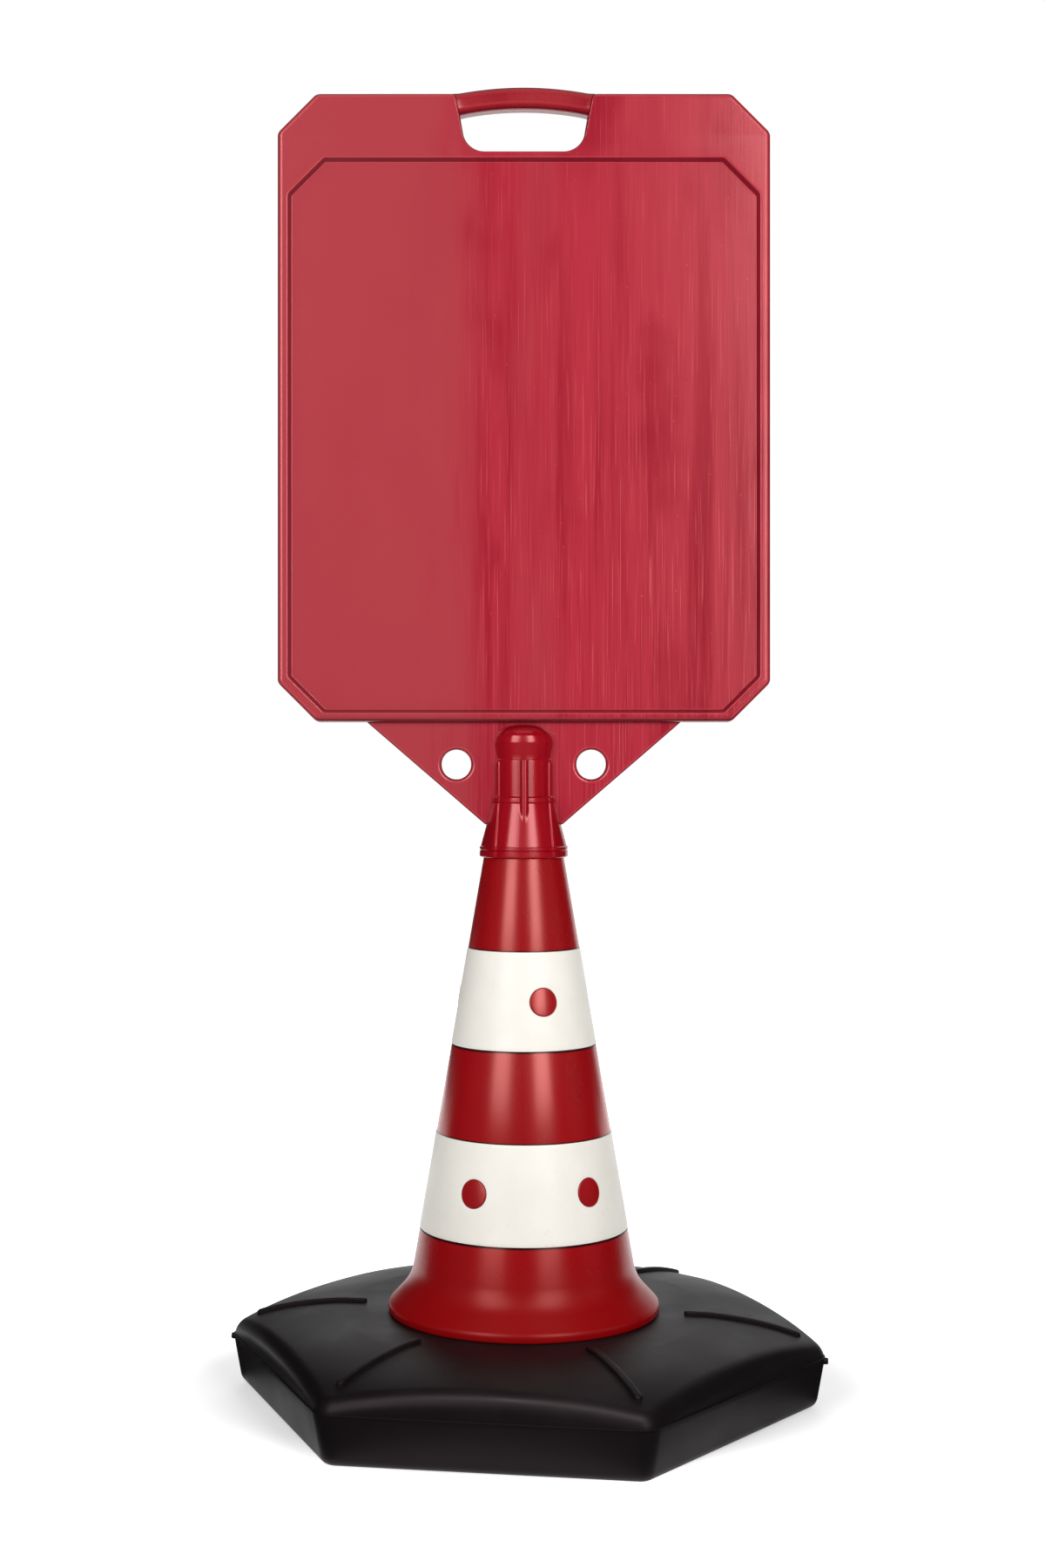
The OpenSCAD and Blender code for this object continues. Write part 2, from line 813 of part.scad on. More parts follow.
// Space inside the socket: skirt round the cone, bore round the spigot, and the dome
module socket_space() {
  roof_z = socket_top_z - dome_wall;
  rotate_extrude()
    polygon([
      [0, mouth_z - over],
      [cone_r(mouth_z - over) + slide_gap, mouth_z - over],
      [cone_r(shoulder_z) + slide_gap, shoulder_z],
      [socket_bore_r, shoulder_z],
      each round_at(
        [socket_bore_r, shoulder_z], [socket_bore_r, roof_z], [0, roof_z], dome_round - dome_wall
      ),
      [0, roof_z]
    ]);
}

// Outside of the socket with its cheeks, and a rib down its front and its back
module socket() {
  rotate_extrude()
    polygon([each socket_side(0), each dome_side()]);
  socket_cheeks();
  for (side = [-1, 1])
    translate([0, side * (neck_rib_reach - neck_rib_r), collar_z - neck_rib_drop])
      cylinder(r = neck_rib_r, h = neck_rib_drop + dome_z - collar_z);
}

module sign_board() {
  color("#b03a45")
    difference() {
      union() {
        difference() {
          hull() {
            upright(board_t - 2 * board_edge)
              polygon(board_outline(0));
            upright(board_t)
              polygon(board_outline(board_edge));
          }
          for (side = [-1, 1])
            panel_recess(side);
          hand_slot();
        }
        grip_bar();
        hull() {
          upright(web_t - 2 * web_edge)
            polygon(web_outline(0));
          upright(web_t)
            polygon(web_outline(web_edge));
        }
        socket();
      }
      board_hollow();
      socket_space();
      for (side = [-1, 1])
        translate([side * web_hole_apart / 2, 0, board_z - web_hole_drop])
          rotate([90, 0, 0])
            cylinder(r = web_hole_r, h = board_t, center = true);
    }
}

base_shell();
ballast_fill();
filler_plug();
cone_fixing_screws();
cone_fixing_washers();
cone_body();
lower_band();
upper_band();
grip_ring();
sign_board();
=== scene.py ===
# %% [markdown]
# # A cone sign, dressed for the camera
# A red moulded board plugs onto the tip of a traffic cone, and the cone stands on a black ballast base.
# The CAD model already fixes every size and every joint. This lesson puts a finer skin over it: each
# visible moulding is worked out again as a surface with soft edges, and gets the finish of its plastic.

# %% Open the frame
import math

import bmesh
import bpy
import numpy as np
from mathutils import Matrix
from mathutils.geometry import tessellate_polygon


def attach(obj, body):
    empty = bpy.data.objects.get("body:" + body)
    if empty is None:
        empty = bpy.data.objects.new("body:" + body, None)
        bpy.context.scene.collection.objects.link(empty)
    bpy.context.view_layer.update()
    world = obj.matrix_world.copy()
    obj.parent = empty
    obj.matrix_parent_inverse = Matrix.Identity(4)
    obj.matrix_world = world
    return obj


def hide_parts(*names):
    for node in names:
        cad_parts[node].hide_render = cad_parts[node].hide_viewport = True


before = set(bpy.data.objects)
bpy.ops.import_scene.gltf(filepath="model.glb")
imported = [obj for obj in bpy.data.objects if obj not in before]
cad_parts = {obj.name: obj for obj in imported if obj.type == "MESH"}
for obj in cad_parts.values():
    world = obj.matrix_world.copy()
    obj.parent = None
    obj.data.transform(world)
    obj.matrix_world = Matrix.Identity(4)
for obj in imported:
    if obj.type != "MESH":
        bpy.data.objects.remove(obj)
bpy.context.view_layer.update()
MM = 0.001

# %% [markdown]
# ## From numbers to a mesh
# Every new piece here is made of sheets. A sheet is points on a grid, worked out as one array, with the
# faces between neighbours, or it is a flat outline filled with triangles. Sheets could be joined by hand
# in edit mode, but a function that merges equal points and turns the faces outwards does the same each
# time the script runs.


# %% Faces between the points of a grid
def grid_faces(rows, columns, ring=True):
    """Four-sided faces between neighbours of a grid. With ring, the last column meets the first again."""
    row = np.arange(rows - 1)[:, None] * columns
    column = np.arange(columns if ring else columns - 1)[None, :]
    right = (column + 1) % columns
    corners = (row + column, row + right, row + columns + right, row + columns + column)
    return np.stack(np.broadcast_arrays(*corners), -1).reshape(-1, 4)


def sheet(points):
    """A grid of points, rows x columns x 3, as a flat list of points and its faces."""
    rows, columns = points.shape[:2]
    return points.reshape(-1, 3), grid_faces(rows, columns)


print("a ring of 3 x 4 points has", len(grid_faces(3, 4)), "faces")

# %% One object from several sheets
CREASE, MERGE = math.radians(38), 0.01 * MM


def make_piece(name, sheets, finish, body, slot, *nodes):
    """Joins sheets, given in millimetres, into one object that rides on a body and stands for CAD nodes.
    Points closer than MERGE become one, and edges that turn by more than CREASE stay sharp."""
    starts = np.cumsum([0] + [len(points) for points, _ in sheets])
    points = np.concatenate([points for points, _ in sheets]) * MM
    faces = [face for (_, some), start in zip(sheets, starts) for face in (some + start).tolist()]
    mesh = bpy.data.meshes.new(name)
    mesh.from_pydata(points.tolist(), [], faces)
    work = bmesh.new()
    work.from_mesh(mesh)
    bmesh.ops.remove_doubles(work, verts=work.verts, dist=MERGE)
    bmesh.ops.recalc_face_normals(work, faces=work.faces)
    loose_edges = sum(edge.is_boundary for edge in work.edges)
    work.to_mesh(mesh)
    work.free()
    mesh.polygons.foreach_set("use_smooth", np.ones(len(mesh.polygons), bool))
    mesh.set_sharp_from_angle(angle=CREASE)
    mesh.materials.append(finish)
    piece = bpy.data.objects.new(name, mesh)
    bpy.context.scene.collection.objects.link(piece)
    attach(piece, body)
    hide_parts(*nodes)
    print(f"{name}: {len(mesh.polygons)} faces, {loose_edges} open edges")
    return piece


def weight_normals(piece):
    """Lets large flat faces set the shading of the narrow rounds beside them."""
    even = piece.modifiers.new("even_shading", "WEIGHTED_NORMAL")
    even.keep_sharp = True
    even.weight = 80


# %% [markdown]
# ## Lines that the mouldings follow
# A mould has no sharp corners, so every outline and every section starts as a few straight runs whose
# corners are turned into arcs. A Bevel modifier could do it afterwards, but an arc in the line itself
# keeps its true radius, also where two arcs lie close together.


# %% Arcs in the corners of a line
def unit(steps):
    """Steps of any length, scaled to length 1."""
    return steps / np.linalg.norm(steps, axis=-1, keepdims=True)


def corner_arcs(before, at, after, radii, steps):
    """One arc per corner, tangent to both sides. Its centre lies on the corner's bisector, at the radius
    divided by the sine of half the corner's angle."""
    back, ahead = unit(before - at), unit(after - at)
    half = np.arccos(np.clip((back * ahead).sum(1), -1, 1)) / 2
    centre = at + unit(back + ahead) * (radii / np.sin(half))[:, None]
    arm = at + back * (radii / np.tan(half))[:, None] - centre
    side = np.sign(back[:, 1] * ahead[:, 0] - back[:, 0] * ahead[:, 1])
    turn = (side * (np.pi - 2 * half))[:, None] * np.linspace(0, 1, steps + 1)
    x = arm[:, :1] * np.cos(turn) - arm[:, 1:] * np.sin(turn)
    y = arm[:, :1] * np.sin(turn) + arm[:, 1:] * np.cos(turn)
    return (centre[:, None, :] + np.stack([x, y], -1)).reshape(-1, 2)


def rounded_line(corners, radii, steps=6):
    """Open line through the corners, with an arc of its own radius at each inner corner."""
    points = np.asarray(corners, float)
    arcs = corner_arcs(points[:-2], points[1:-1], points[2:], np.asarray(radii, float), steps)
    return np.concatenate([points[:1], arcs, points[-1:]])


def rounded_loop(corners, radii, steps=8):
    """Closed line through the corners, with an arc of its own radius at each."""
    points = np.asarray(corners, float)
    radii = np.broadcast_to(np.asarray(radii, float), len(points))
    return corner_arcs(np.roll(points, 1, 0), points, np.roll(points, -1, 0), radii, steps)


def rectangle(half_wide, half_tall):
    """The four corners of a rectangle round the origin."""
    right, left = half_wide, -half_wide
    return [(left, -half_tall), (right, -half_tall), (right, half_tall), (left, half_tall)]


square = rounded_loop(rectangle(1, 1), 0.4)
print("a rounded square has", len(square), "points")


# %% Loops moved inwards, and sections carried along them
def inset_loops(loop, distances):
    """The loop moved to its left by each distance, every point along the mitre of its two sides."""
    run = unit(np.roll(loop, -1, 0) - loop)
    left = np.stack([-run[:, 1], run[:, 0]], 1)
    past = np.roll(left, 1, 0)
    mitre = (left + past) / (1 + (left * past).sum(1))[:, None]
    return loop + np.asarray(distances, float)[..., None] * mitre


def carried(loop, section, share=1.0):
    """A section of (inset, depth) carried round an upright loop in x and z: depth becomes y.
    share scales the insets at each point of the loop."""
    places = inset_loops(loop, section[:, :1] * share)
    y = np.broadcast_to(section[:, 1:], places.shape[:2])
    return np.stack([places[..., 0], y, places[..., 1]], -1)


def flat_fill(loops, axis, depth):
    """Triangles that fill the first loop and leave the others open, at a depth along axis: 1 is y, 2 is z."""
    plane = np.concatenate(loops)
    triangles = tessellate_polygon([np.pad(loop, ((0, 0), (0, 1))).tolist() for loop in loops])
    return np.insert(plane, axis, depth, axis=1), np.array(triangles)


print("the square's fill has", len(flat_fill([square], 2, 0.0)[1]), "triangles")


# %% Places on the ground, lifted and turned
def direction(angle):
    """Unit steps in the ground plane: the cosine and the sine of an angle."""
    return np.stack([np.cos(angle), np.sin(angle)], -1)


def raised(places, high):
    """Flat places in x and y with their heights: one for each place, or one for each row of them."""
    high = np.broadcast_to(high, places.shape[:-1])
    return np.concatenate([places, high[..., None]], -1)


def pointed(places, line):
    """Flat places turned about the origin, so that their x runs along the bearing line."""
    return places[..., :1] * direction(line) + places[..., 1:] * direction(line + np.pi / 2)


def lathe(profile, columns, place=(0, 0)):
    """A profile of (radius, height) turned about an upright axis: every row is a circle round place."""
    around = direction(np.linspace(0, 2 * np.pi, columns, endpoint=False))
    return raised(place + profile[:, :1, None] * around, profile[:, 1:])


print("a lathe of 2 points in 8 columns is a grid of", lathe(np.ones((2, 2)), 8).shape)

# %% [markdown]
# ## Finishes
# All the plastics are mixed from noise on object coordinates, so they need no pictures and stay put when
# a piece moves. A small helper adds a node and wires its inputs; each finish then reads as a recipe.


# %% Helpers for shader nodes
def new_finish(name):
    """A material with one Principled shader, and the node tree that feeds it."""
    finish = bpy.data.materials.new(name)
    finish.use_nodes = True
    return finish, finish.node_tree, finish.node_tree.nodes["Principled BSDF"]


def wire(tree, node, inputs):
    """Fills a node's inputs: a plain value is set on the socket, and another node's output is linked."""
    for key, value in inputs.items():
        if isinstance(value, bpy.types.NodeSocket):
            tree.links.new(value, node.inputs[key])
        else:
            node.inputs[key].default_value = value


def add_node(tree, kind, inputs=None, **options):
    """Adds a node, sets its options and wires its inputs."""
    node = tree.nodes.new(kind)
    for option, value in options.items():
        setattr(node, option, value)
    wire(tree, node, inputs or {})
    return node


def noise(tree, stretch, detail=3.0, rough=0.55, shift=(0, 0, 0)):
    """Noise in the object's own metres; stretch gives cells per metre along x, y and z."""
    place = add_node(tree, "ShaderNodeTexCoord").outputs["Object"]
    spread = add_node(tree, "ShaderNodeMapping", {"Vector": place, "Scale": stretch, "Location": shift})
    grain = {"Vector": spread.outputs[0], "Scale": 1.0, "Detail": detail, "Roughness": rough}
    return add_node(tree, "ShaderNodeTexNoise", grain).outputs["Fac"]


def remap(tree, value, low, high, to_low=0.0, to_high=1.0):
    """Maps low..high smoothly to to_low..to_high and holds the ends."""
    ends = {"Value": value, "From Min": low, "From Max": high, "To Min": to_low, "To Max": to_high}
    return add_node(tree, "ShaderNodeMapRange", ends, interpolation_type="SMOOTHSTEP").outputs["Result"]


def object_axis(tree, axis, of="Object"):
    """The object's own x, y or z: of a place in metres, or of the surface's direction with of="Normal"."""
    place = add_node(tree, "ShaderNodeTexCoord").outputs[of]
    return add_node(tree, "ShaderNodeSeparateXYZ", {0: place}).outputs[axis]


# %% Helpers that mix values and colours
def maths(tree, operation, a, b=0.0):
    """One sum on one or two values."""
    return add_node(tree, "ShaderNodeMath", {0: a, 1: b}, operation=operation).outputs[0]


def times(tree, a, b):
    """Two patterns multiplied: strong only where both are."""
    return maths(tree, "MULTIPLY", a, b)


def larger(tree, a, b):
    """Two patterns laid over each other: strong where either is."""
    return maths(tree, "MAXIMUM", a, b)


def tint(tree, share, first, second):
    """A colour between first and second."""
    node = add_node(tree, "ShaderNodeMix", {"Factor": share}, data_type="RGBA")
    for key, value in (("A", first), ("B", second)):
        socket = [one for one in node.inputs if one.name == key and one.type == "RGBA"][0]
        if isinstance(value, bpy.types.NodeSocket):
            tree.links.new(value, socket)
        else:
            socket.default_value = (*value, 1)
    return [one for one in node.outputs if one.type == "RGBA"][0]


def roughen(tree, shader, height, depth_mm, strength):
    """Lets a height pattern tilt the shading as if it were depth_mm deep."""
    ends = {"Height": height, "Strength": strength, "Distance": depth_mm * MM}
    wire(tree, shader, {"Normal": add_node(tree, "ShaderNodeBump", ends).outputs["Normal"]})


# %% [markdown]
# ### The board's streaked red
# A blow-moulded board starts as a soft tube drawn down through a ring die, and every nick in the die leaves
# a fine upright line. On the real board these lines, with darker bands between them, fill the right two
# thirds, while the left third is smooth. A painted picture could show them, but noise that is stretched
# along z draws all of it at any distance.

# %% Streaked red for the board
BOARD_LOW = 504.0
LEDGE = BOARD_LOW * MM


def streak_share(tree):
    """0 on the smooth left third and 1 on the streaked rest, with a ragged change between them."""
    ragged = times(tree, noise(tree, (24, 24, 3.5), 4, shift=(4, 2, 0)), 0.22)
    return remap(tree, maths(tree, "ADD", object_axis(tree, "X"), ragged), 0.015, 0.145)


def painted_edge_shade(tree, facing, edge):
    """Painted shade on edges, steps and hole walls, by the way they face, and on the board's lower ledge."""
    nook = times(tree, remap(tree, facing, 0.50, 0.86, edge, 0.0), remap(tree, facing, 0.05, 0.40, 0.55, 1.0))
    high = object_axis(tree, "Z")
    rising = remap(tree, high, LEDGE - 0.002, LEDGE, 0.0, 0.65)
    ledge = times(tree, rising, remap(tree, high, LEDGE + 0.001, LEDGE + 0.005, 1.0, 0.0))
    return larger(tree, nook, ledge)


def board_finish(
    name, smooth, streaky, shadow, fleck_and_highlight, painted_shade, edge, rough, shine=(1.0, 0.62, 0.60), ior=1.5
):
    """Five colours: the smooth left third, the streaked rest, its deep bands, its pale lines, which also
    paint a highlight along the rims' crests, and the painted shade on edges, steps and hole walls; edge is
    how much of that shade. rough is for open surface and deep bands, and shine tints the highlights."""
    finish, tree, shader = new_finish(name)
    streaked = streak_share(tree)
    streaks = times(tree, streaked, remap(tree, object_axis(tree, "Z"), 0.55, 0.95, 1.0, 0.45))
    bands = noise(tree, (62, 62, 2.5), 3)
    clouds = noise(tree, (12, 12, 6.5), 3, shift=(3, 0, 1))
    lines = noise(tree, (900, 900, 9), 2, 0.6)
    flecks = noise(tree, (1100, 1100, 14), 2, 0.5, shift=(0, 5, 2))
    specks = noise(tree, (430, 430, 330), 1, 0.4, shift=(2, 1, 7))

    deep = times(tree, remap(tree, bands, 0.42, 0.70), streaks)
    cloud_share = remap(tree, streaked, 0.0, 1.0, 0.10, 1.0)
    shade = larger(tree, deep, times(tree, remap(tree, clouds, 0.45, 0.72, 0.0, 0.9), cloud_share))
    colour = tint(tree, shade, tint(tree, streaked, smooth, streaky), shadow)
    dark = times(tree, remap(tree, lines, 0.52, 0.74, 0.0, 0.7), streaks)
    colour = tint(tree, dark, colour, shadow)
    pale = times(tree, remap(tree, flecks, 0.56, 0.76, 0.0, 0.85), streaks)
    dots = times(tree, remap(tree, specks, 0.78, 0.82, 0.0, 0.5), streaked)
    colour = tint(tree, larger(tree, pale, dots), colour, fleck_and_highlight)

    facing = maths(tree, "ABSOLUTE", object_axis(tree, "Y", "Normal"))
    # Painted highlight: a pale line along each rim's round crest, where it turns from the front.
    painted_crest_highlight = times(tree, remap(tree, facing, 0.84, 0.92), remap(tree, facing, 0.965, 0.995, 0.5, 0.0))
    colour = tint(tree, painted_crest_highlight, colour, fleck_and_highlight)
    # Painted shade on edges, steps, hole walls and under the lower ledge.
    colour = tint(tree, painted_edge_shade(tree, facing, edge), colour, painted_shade)
    rubbed = times(tree, remap(tree, shade, 0.0, 1.0, *rough), remap(tree, facing, 0.85, 0.995, 0.6, 1.0))
    wire(tree, shader, {
        "Base Color": colour, "Roughness": rubbed, "IOR": ior,
        "Specular IOR Level": 0.8, "Specular Tint": (*shine, 1),
    })
    ridges = times(tree, lines, remap(tree, streaked, 0.0, 1.0, 0.1, 1.0))
    roughen(tree, shader, ridges, 0.08, 0.4)
    return finish


# The fifth colour is painted shade on edges, steps and hole walls; the pale one also paints a highlight on
# the rims' crests.
board_red = board_finish(
    "board_red", smooth=(0.405, 0.042, 0.055), streaky=(0.430, 0.021, 0.041), shadow=(0.300, 0.005, 0.020),
    fleck_and_highlight=(0.60, 0.088, 0.100), painted_shade=(0.085, 0.006, 0.011), edge=0.7, rough=(0.22, 0.18),
)
grip_red = board_finish(
    "grip_red", smooth=(0.340, 0.012, 0.022), streaky=(0.340, 0.010, 0.020), shadow=(0.280, 0.005, 0.014),
    fleck_and_highlight=(0.42, 0.040, 0.048), painted_shade=(0.120, 0.004, 0.010), edge=0.7, rough=(0.28, 0.24),
)
socket_red = board_finish(
    "socket_red", smooth=(0.34, 0.002, 0.010), streaky=(0.34, 0.002, 0.010), shadow=(0.30, 0.001, 0.006),
    fleck_and_highlight=(0.37, 0.006, 0.014), painted_shade=(0.17, 0.001, 0.004), edge=0.4, rough=(0.28, 0.24),
    shine=(1.0, 0.48, 0.49), ior=1.68,
)
print("board finishes:", board_red.name, grip_red.name, socket_red.name)

# %% [markdown]
# ### The cone's glossy red, the white sleeves and the black base
# The cone is injection moulded, so it is smoother and deeper in colour than the board. Its foot is scuffed
# and duller, so that part has a finish of its own, and painted shade darkens the seams at the sleeves' edges
# and the red near the ground. The sleeves are a warm white with a trace of dirt towards the ground. The base
# is black polyethylene: nearly matt, with the faint mottling of a rough mould and some dust on its crown.
# Dirt and shade could be painted on, but a height in the object's own metres puts each where it belongs.

# %% Glossy red for the cone
SEAT, SLEEVE_TALL = 64.0, 72.0
# A sleeve's lower edge, how many bosses it has, and the bearing of the first in degrees.
SLEEVES = {"lower": (SEAT + 62, 5, 40.5), "upper": (SEAT + 199, 3, 16.5)}
SEAMS = [edge for low, _, _ in SLEEVES.values() for edge in (low, low + SLEEVE_TALL)]


def painted_seam_shade(tree):
    """Painted shade in the seams: 1 on the sleeves' edges, and 0 a little more than a millimetre away from
    them.
    """
    away = 1.0
    for edge in SEAMS:
        past = maths(tree, "SUBTRACT", object_axis(tree, "Z"), edge * MM)
        away = maths(tree, "MINIMUM", maths(tree, "ABSOLUTE", past), away)
    return remap(tree, away, 0.0004, 0.0014, 1.0, 0.0)


def cone_finish(name, deep, gloss):
    """deep is the colour that the red falls to near the ground as painted shade, and gloss the strength of
    the highlights.
    """
    finish, tree, shader = new_finish(name)
    mottle = noise(tree, (26, 26, 9), 4)
    flow = noise(tree, (120, 120, 12), 2, shift=(1, 4, 0))
    colour = tint(tree, remap(tree, mottle, 0.3, 0.7), (0.345, 0.0015, 0.0050), (0.300, 0.0010, 0.0040))
    high = object_axis(tree, "Z")
    # Painted shade: the red falls to deep towards the ground.
    colour = tint(tree, remap(tree, high, 0.075, 0.150, 0.8, 0.0), colour, deep)
    # Painted shade in the seams at the sleeves' edges.
    colour = tint(tree, painted_seam_shade(tree), colour, (0.030, 0.0010, 0.0020))
    scuffed = remap(tree, high, 0.075, 0.120, 0.09, 0.0)
    rough = maths(tree, "ADD", remap(tree, mottle, 0.25, 0.75, 0.23, 0.29), scuffed)
    wire(tree, shader, {
        "Base Color": colour, "Roughness": rough, "IOR": 1.6,
        "Specular IOR Level": gloss, "Specular Tint": (1.0, 0.43, 0.39, 1),
    })
    roughen(tree, shader, flow, 0.10, 0.35)
    return finish


cone_red = cone_finish("cone_red", (0.240, 0.0006, 0.0016), gloss=1.0)
foot_red = cone_finish("foot_red", (0.275, 0.0006, 0.0016), gloss=0.4)
print("cone finishes:", cone_red.name, foot_red.name)


# %% Warm white for the sleeves
def sleeve_finish(name):
    """A clouded white. Its specks are strong near the ground and gone from a quarter of a metre up."""
    finish, tree, shader = new_finish(name)
    cloud = noise(tree, (34, 34, 26), 4)
    colour = tint(tree, remap(tree, cloud, 0.35, 0.75), (0.90, 0.87, 0.80), (0.86, 0.83, 0.755))
    low = remap(tree, object_axis(tree, "Z"), 0.10, 0.24, 0.5, 0.0)
    specks = remap(tree, noise(tree, (420, 420, 300), 2), 0.66, 0.76)
    colour = tint(tree, times(tree, specks, low), colour, (0.52, 0.50, 0.44))
    wire(tree, shader, {"Base Color": colour, "Roughness": remap(tree, cloud, 0.3, 0.7, 0.38, 0.48)})
    roughen(tree, shader, noise(tree, (260, 260, 40), 2), 0.05, 0.3)
    return finish


sleeve_white = sleeve_finish("sleeve_white")
print("sleeve finish:", sleeve_white.name)


# %% Satin black for the base and its plug
def black_finish(name, dark, dusty):
    """Dark plastic with clouds of dust above the base's side, and smoother where its edges are rubbed."""
    finish, tree, shader = new_finish(name)
    cloud = noise(tree, (14, 14, 14), 5, 0.6)
    dust = times(tree, remap(tree, cloud, 0.45, 0.8), remap(tree, object_axis(tree, "Z"), 0.03, 0.06))
    slope = object_axis(tree, "Z", "Normal")
    rubbed = times(tree, remap(tree, slope, 0.1, 0.4), remap(tree, slope, 0.75, 0.95, 1.0, 0.0))
    rough = maths(tree, "SUBTRACT", remap(tree, cloud, 0.3, 0.7, 0.42, 0.52), times(tree, rubbed, 0.08))
    wire(tree, shader, {
        "Base Color": tint(tree, dust, dark, dusty), "Roughness": rough,
        "Specular IOR Level": 0.14, "Specular Tint": (1.0, 0.82, 0.86, 1),
    })
    roughen(tree, shader, noise(tree, (900, 900, 900), 2), 0.06, 0.35)
    return finish


base_black = black_finish("base_black", (0.0060, 0.0045, 0.0050), (0.0110, 0.0090, 0.0095))
plug_black = black_finish("plug_black", (0.020, 0.020, 0.021), (0.034, 0.033, 0.032))
print("black finishes:", base_black.name, plug_black.name)

# %% [markdown]
# ## The cone
# The cone is a turned shape in all but name: a bell foot, a straight side with two shallow seats for the
# sleeves, and a spigot on top that the sign plugs onto. So it is a lathe of one closed profile, inside
# and outside together. A screw modifier could turn it too; here the profile simply meets each angle.

# %% Profile of the cone, inside and outside
SHOULDER, CONE_TOP, CONE_LOW, CONE_WALL = 416.0, 27.8, 88.5, 3.5
FOOT, FLANGE, FLANGE_TOP = 101.5, 60.4, SEAT + 4
SPIGOT, SPIGOT_BORE, SPIGOT_TOP = 18.5, 11.0, SHOULDER + 56
GROOVE, GROOVE_LOW, GROOVE_TOP = 14.9, SHOULDER + 40.1, SHOULDER + 43.9
SLEEVE_SINK, SLEEVE_PROUD, SLEEVE_WALL = 1.1, 0.4, 1.4


def cone_radius(z):
    """Radius of the cone's straight side: it grows evenly from the shoulder down."""
    return CONE_TOP + (SHOULDER - z) * (CONE_LOW - CONE_TOP) / (SHOULDER - SEAT)


def sleeve_seat(z):
    """The four corners of a sleeve's shallow seat, from its bottom up."""
    top = z + SLEEVE_TALL
    return [
        (cone_radius(z), z), (cone_radius(z) - SLEEVE_SINK, z),
        (cone_radius(top) - SLEEVE_SINK, top), (cone_radius(top), top),
    ]


foot = [(FLANGE, SEAT), (FOOT - 0.4, SEAT), (FOOT, SEAT + 6), (cone_radius(SEAT + 24), SEAT + 24)]
seats = sleeve_seat(SLEEVES["lower"][0]) + sleeve_seat(SLEEVES["upper"][0])
spigot = [
    (CONE_TOP, SHOULDER), (SPIGOT, SHOULDER), (SPIGOT, GROOVE_LOW), (GROOVE, GROOVE_LOW),
    (GROOVE, GROOVE_TOP), (SPIGOT, GROOVE_TOP), (SPIGOT, SPIGOT_TOP), (SPIGOT_BORE, SPIGOT_TOP),
    (SPIGOT_BORE, SHOULDER - CONE_WALL),
]
inside = [
    (CONE_TOP - CONE_WALL, SHOULDER - CONE_WALL), (80.0, SEAT + 22), (93.0, FLANGE_TOP),
    (FLANGE, FLANGE_TOP), (FLANGE, SEAT),
]
foot_radii = [1.6, 4.6, 34.0]
seat_radii = [0.25] * len(seats)
spigot_radii = [1.0, 0.6, 0.4, 0.3, 0.3, 0.4, 1.2, 0.8, 0.5]
inside_radii = [1.0, 4.0, 2.0, 0.5]
cone_profile = rounded_line(
    foot + seats + spigot + inside, foot_radii + seat_radii + spigot_radii + inside_radii, steps=5
)
print("cone profile:", len(cone_profile), "points")

# %% [markdown]
# The round bosses that show through the sleeves are part of the cone. Each is a small button with a round
# edge that follows the cone's curve. A flat disc would stand off the curve at its sides, so a polar grid
# is laid on the unrolled side of the cone and wrapped back on.

# %% Buttons on the cone's side
TILT = math.atan((CONE_LOW - CONE_TOP) / (SHOULDER - SEAT))
BOSS, BOSS_OUT, BOSS_DEEP, BOSS_ROOM = 10.2, 0.75, 1.6, 0.4


def on_cone(around, up, out, middle):
    """Wraps a flat place onto the cone: around is along the girth and up along the slope from height middle,
    both in mm, and out is square to the side."""
    high = middle + up * math.cos(TILT)
    radius = cone_radius(high) + out * math.cos(TILT)
    angle = around / cone_radius(middle) - np.pi / 2
    return raised(radius[..., None] * direction(angle), high + out * math.sin(TILT))


def boss_turns(count, first):
    """Where a sleeve's bosses sit, as shares of a full turn."""
    return first / 360 + np.arange(count) / count


def bosses(z, count, first):
    """Polar grids for all the bosses of one sleeve: flat in the middle, round at the edge, then straight in
    and closed."""
    section = [(0.0, BOSS_OUT), (BOSS, BOSS_OUT), (BOSS, -BOSS_DEEP), (0.0, -BOSS_DEEP)]
    edge = rounded_line(section, [0.6, 0.2], steps=5)
    ring = np.linspace(0, 2 * np.pi, 48, endpoint=False)
    middle = z + SLEEVE_TALL / 2
    turn = 2 * np.pi * boss_turns(count, first)[:, None, None]
    around = turn * cone_radius(middle) + edge[:, :1] * np.cos(ring)
    return [sheet(grid) for grid in on_cone(around, edge[:, :1] * np.sin(ring), edge[:, 1:], middle)]


buttons = [one for place in SLEEVES.values() for one in bosses(*place)]
cone_sheets = [sheet(lathe(cone_profile, 192))] + buttons
cone = make_piece("cone", cone_sheets, cone_red, "stand", "cone_red", "cone_body")
# The change to the duller foot lies under the lower sleeve, where it doesn't show.
cone.data.materials.append(foot_red)
dull_below = (SLEEVES["lower"][0] + SLEEVE_TALL / 3) * MM
for face in cone.data.polygons:
    face.material_index = int(face.center.z < dull_below)

# %% [markdown]
# ## The sleeves
# Each white sleeve is a thin band snapped into its seat, with a round hole for every boss. A boolean could
# cut the holes, but it leaves ragged faces. Instead the grid is opened: a window of cells is taken out and
# a ring of faces is laid between the window's edge and the hole, which keeps the band smooth.

# %% Round holes in a grid
HOLE_ROWS = 4


def grid_turn(grid):
    """Length of a full turn along the first coordinate, or a great length if the grid doesn't wind round."""
    step = grid[0, 1, 0] - grid[0, 0, 0]
    wound = np.allclose(np.diff(grid[0, :, 0]), step)
    return step * grid.shape[1] if wound else 1e6


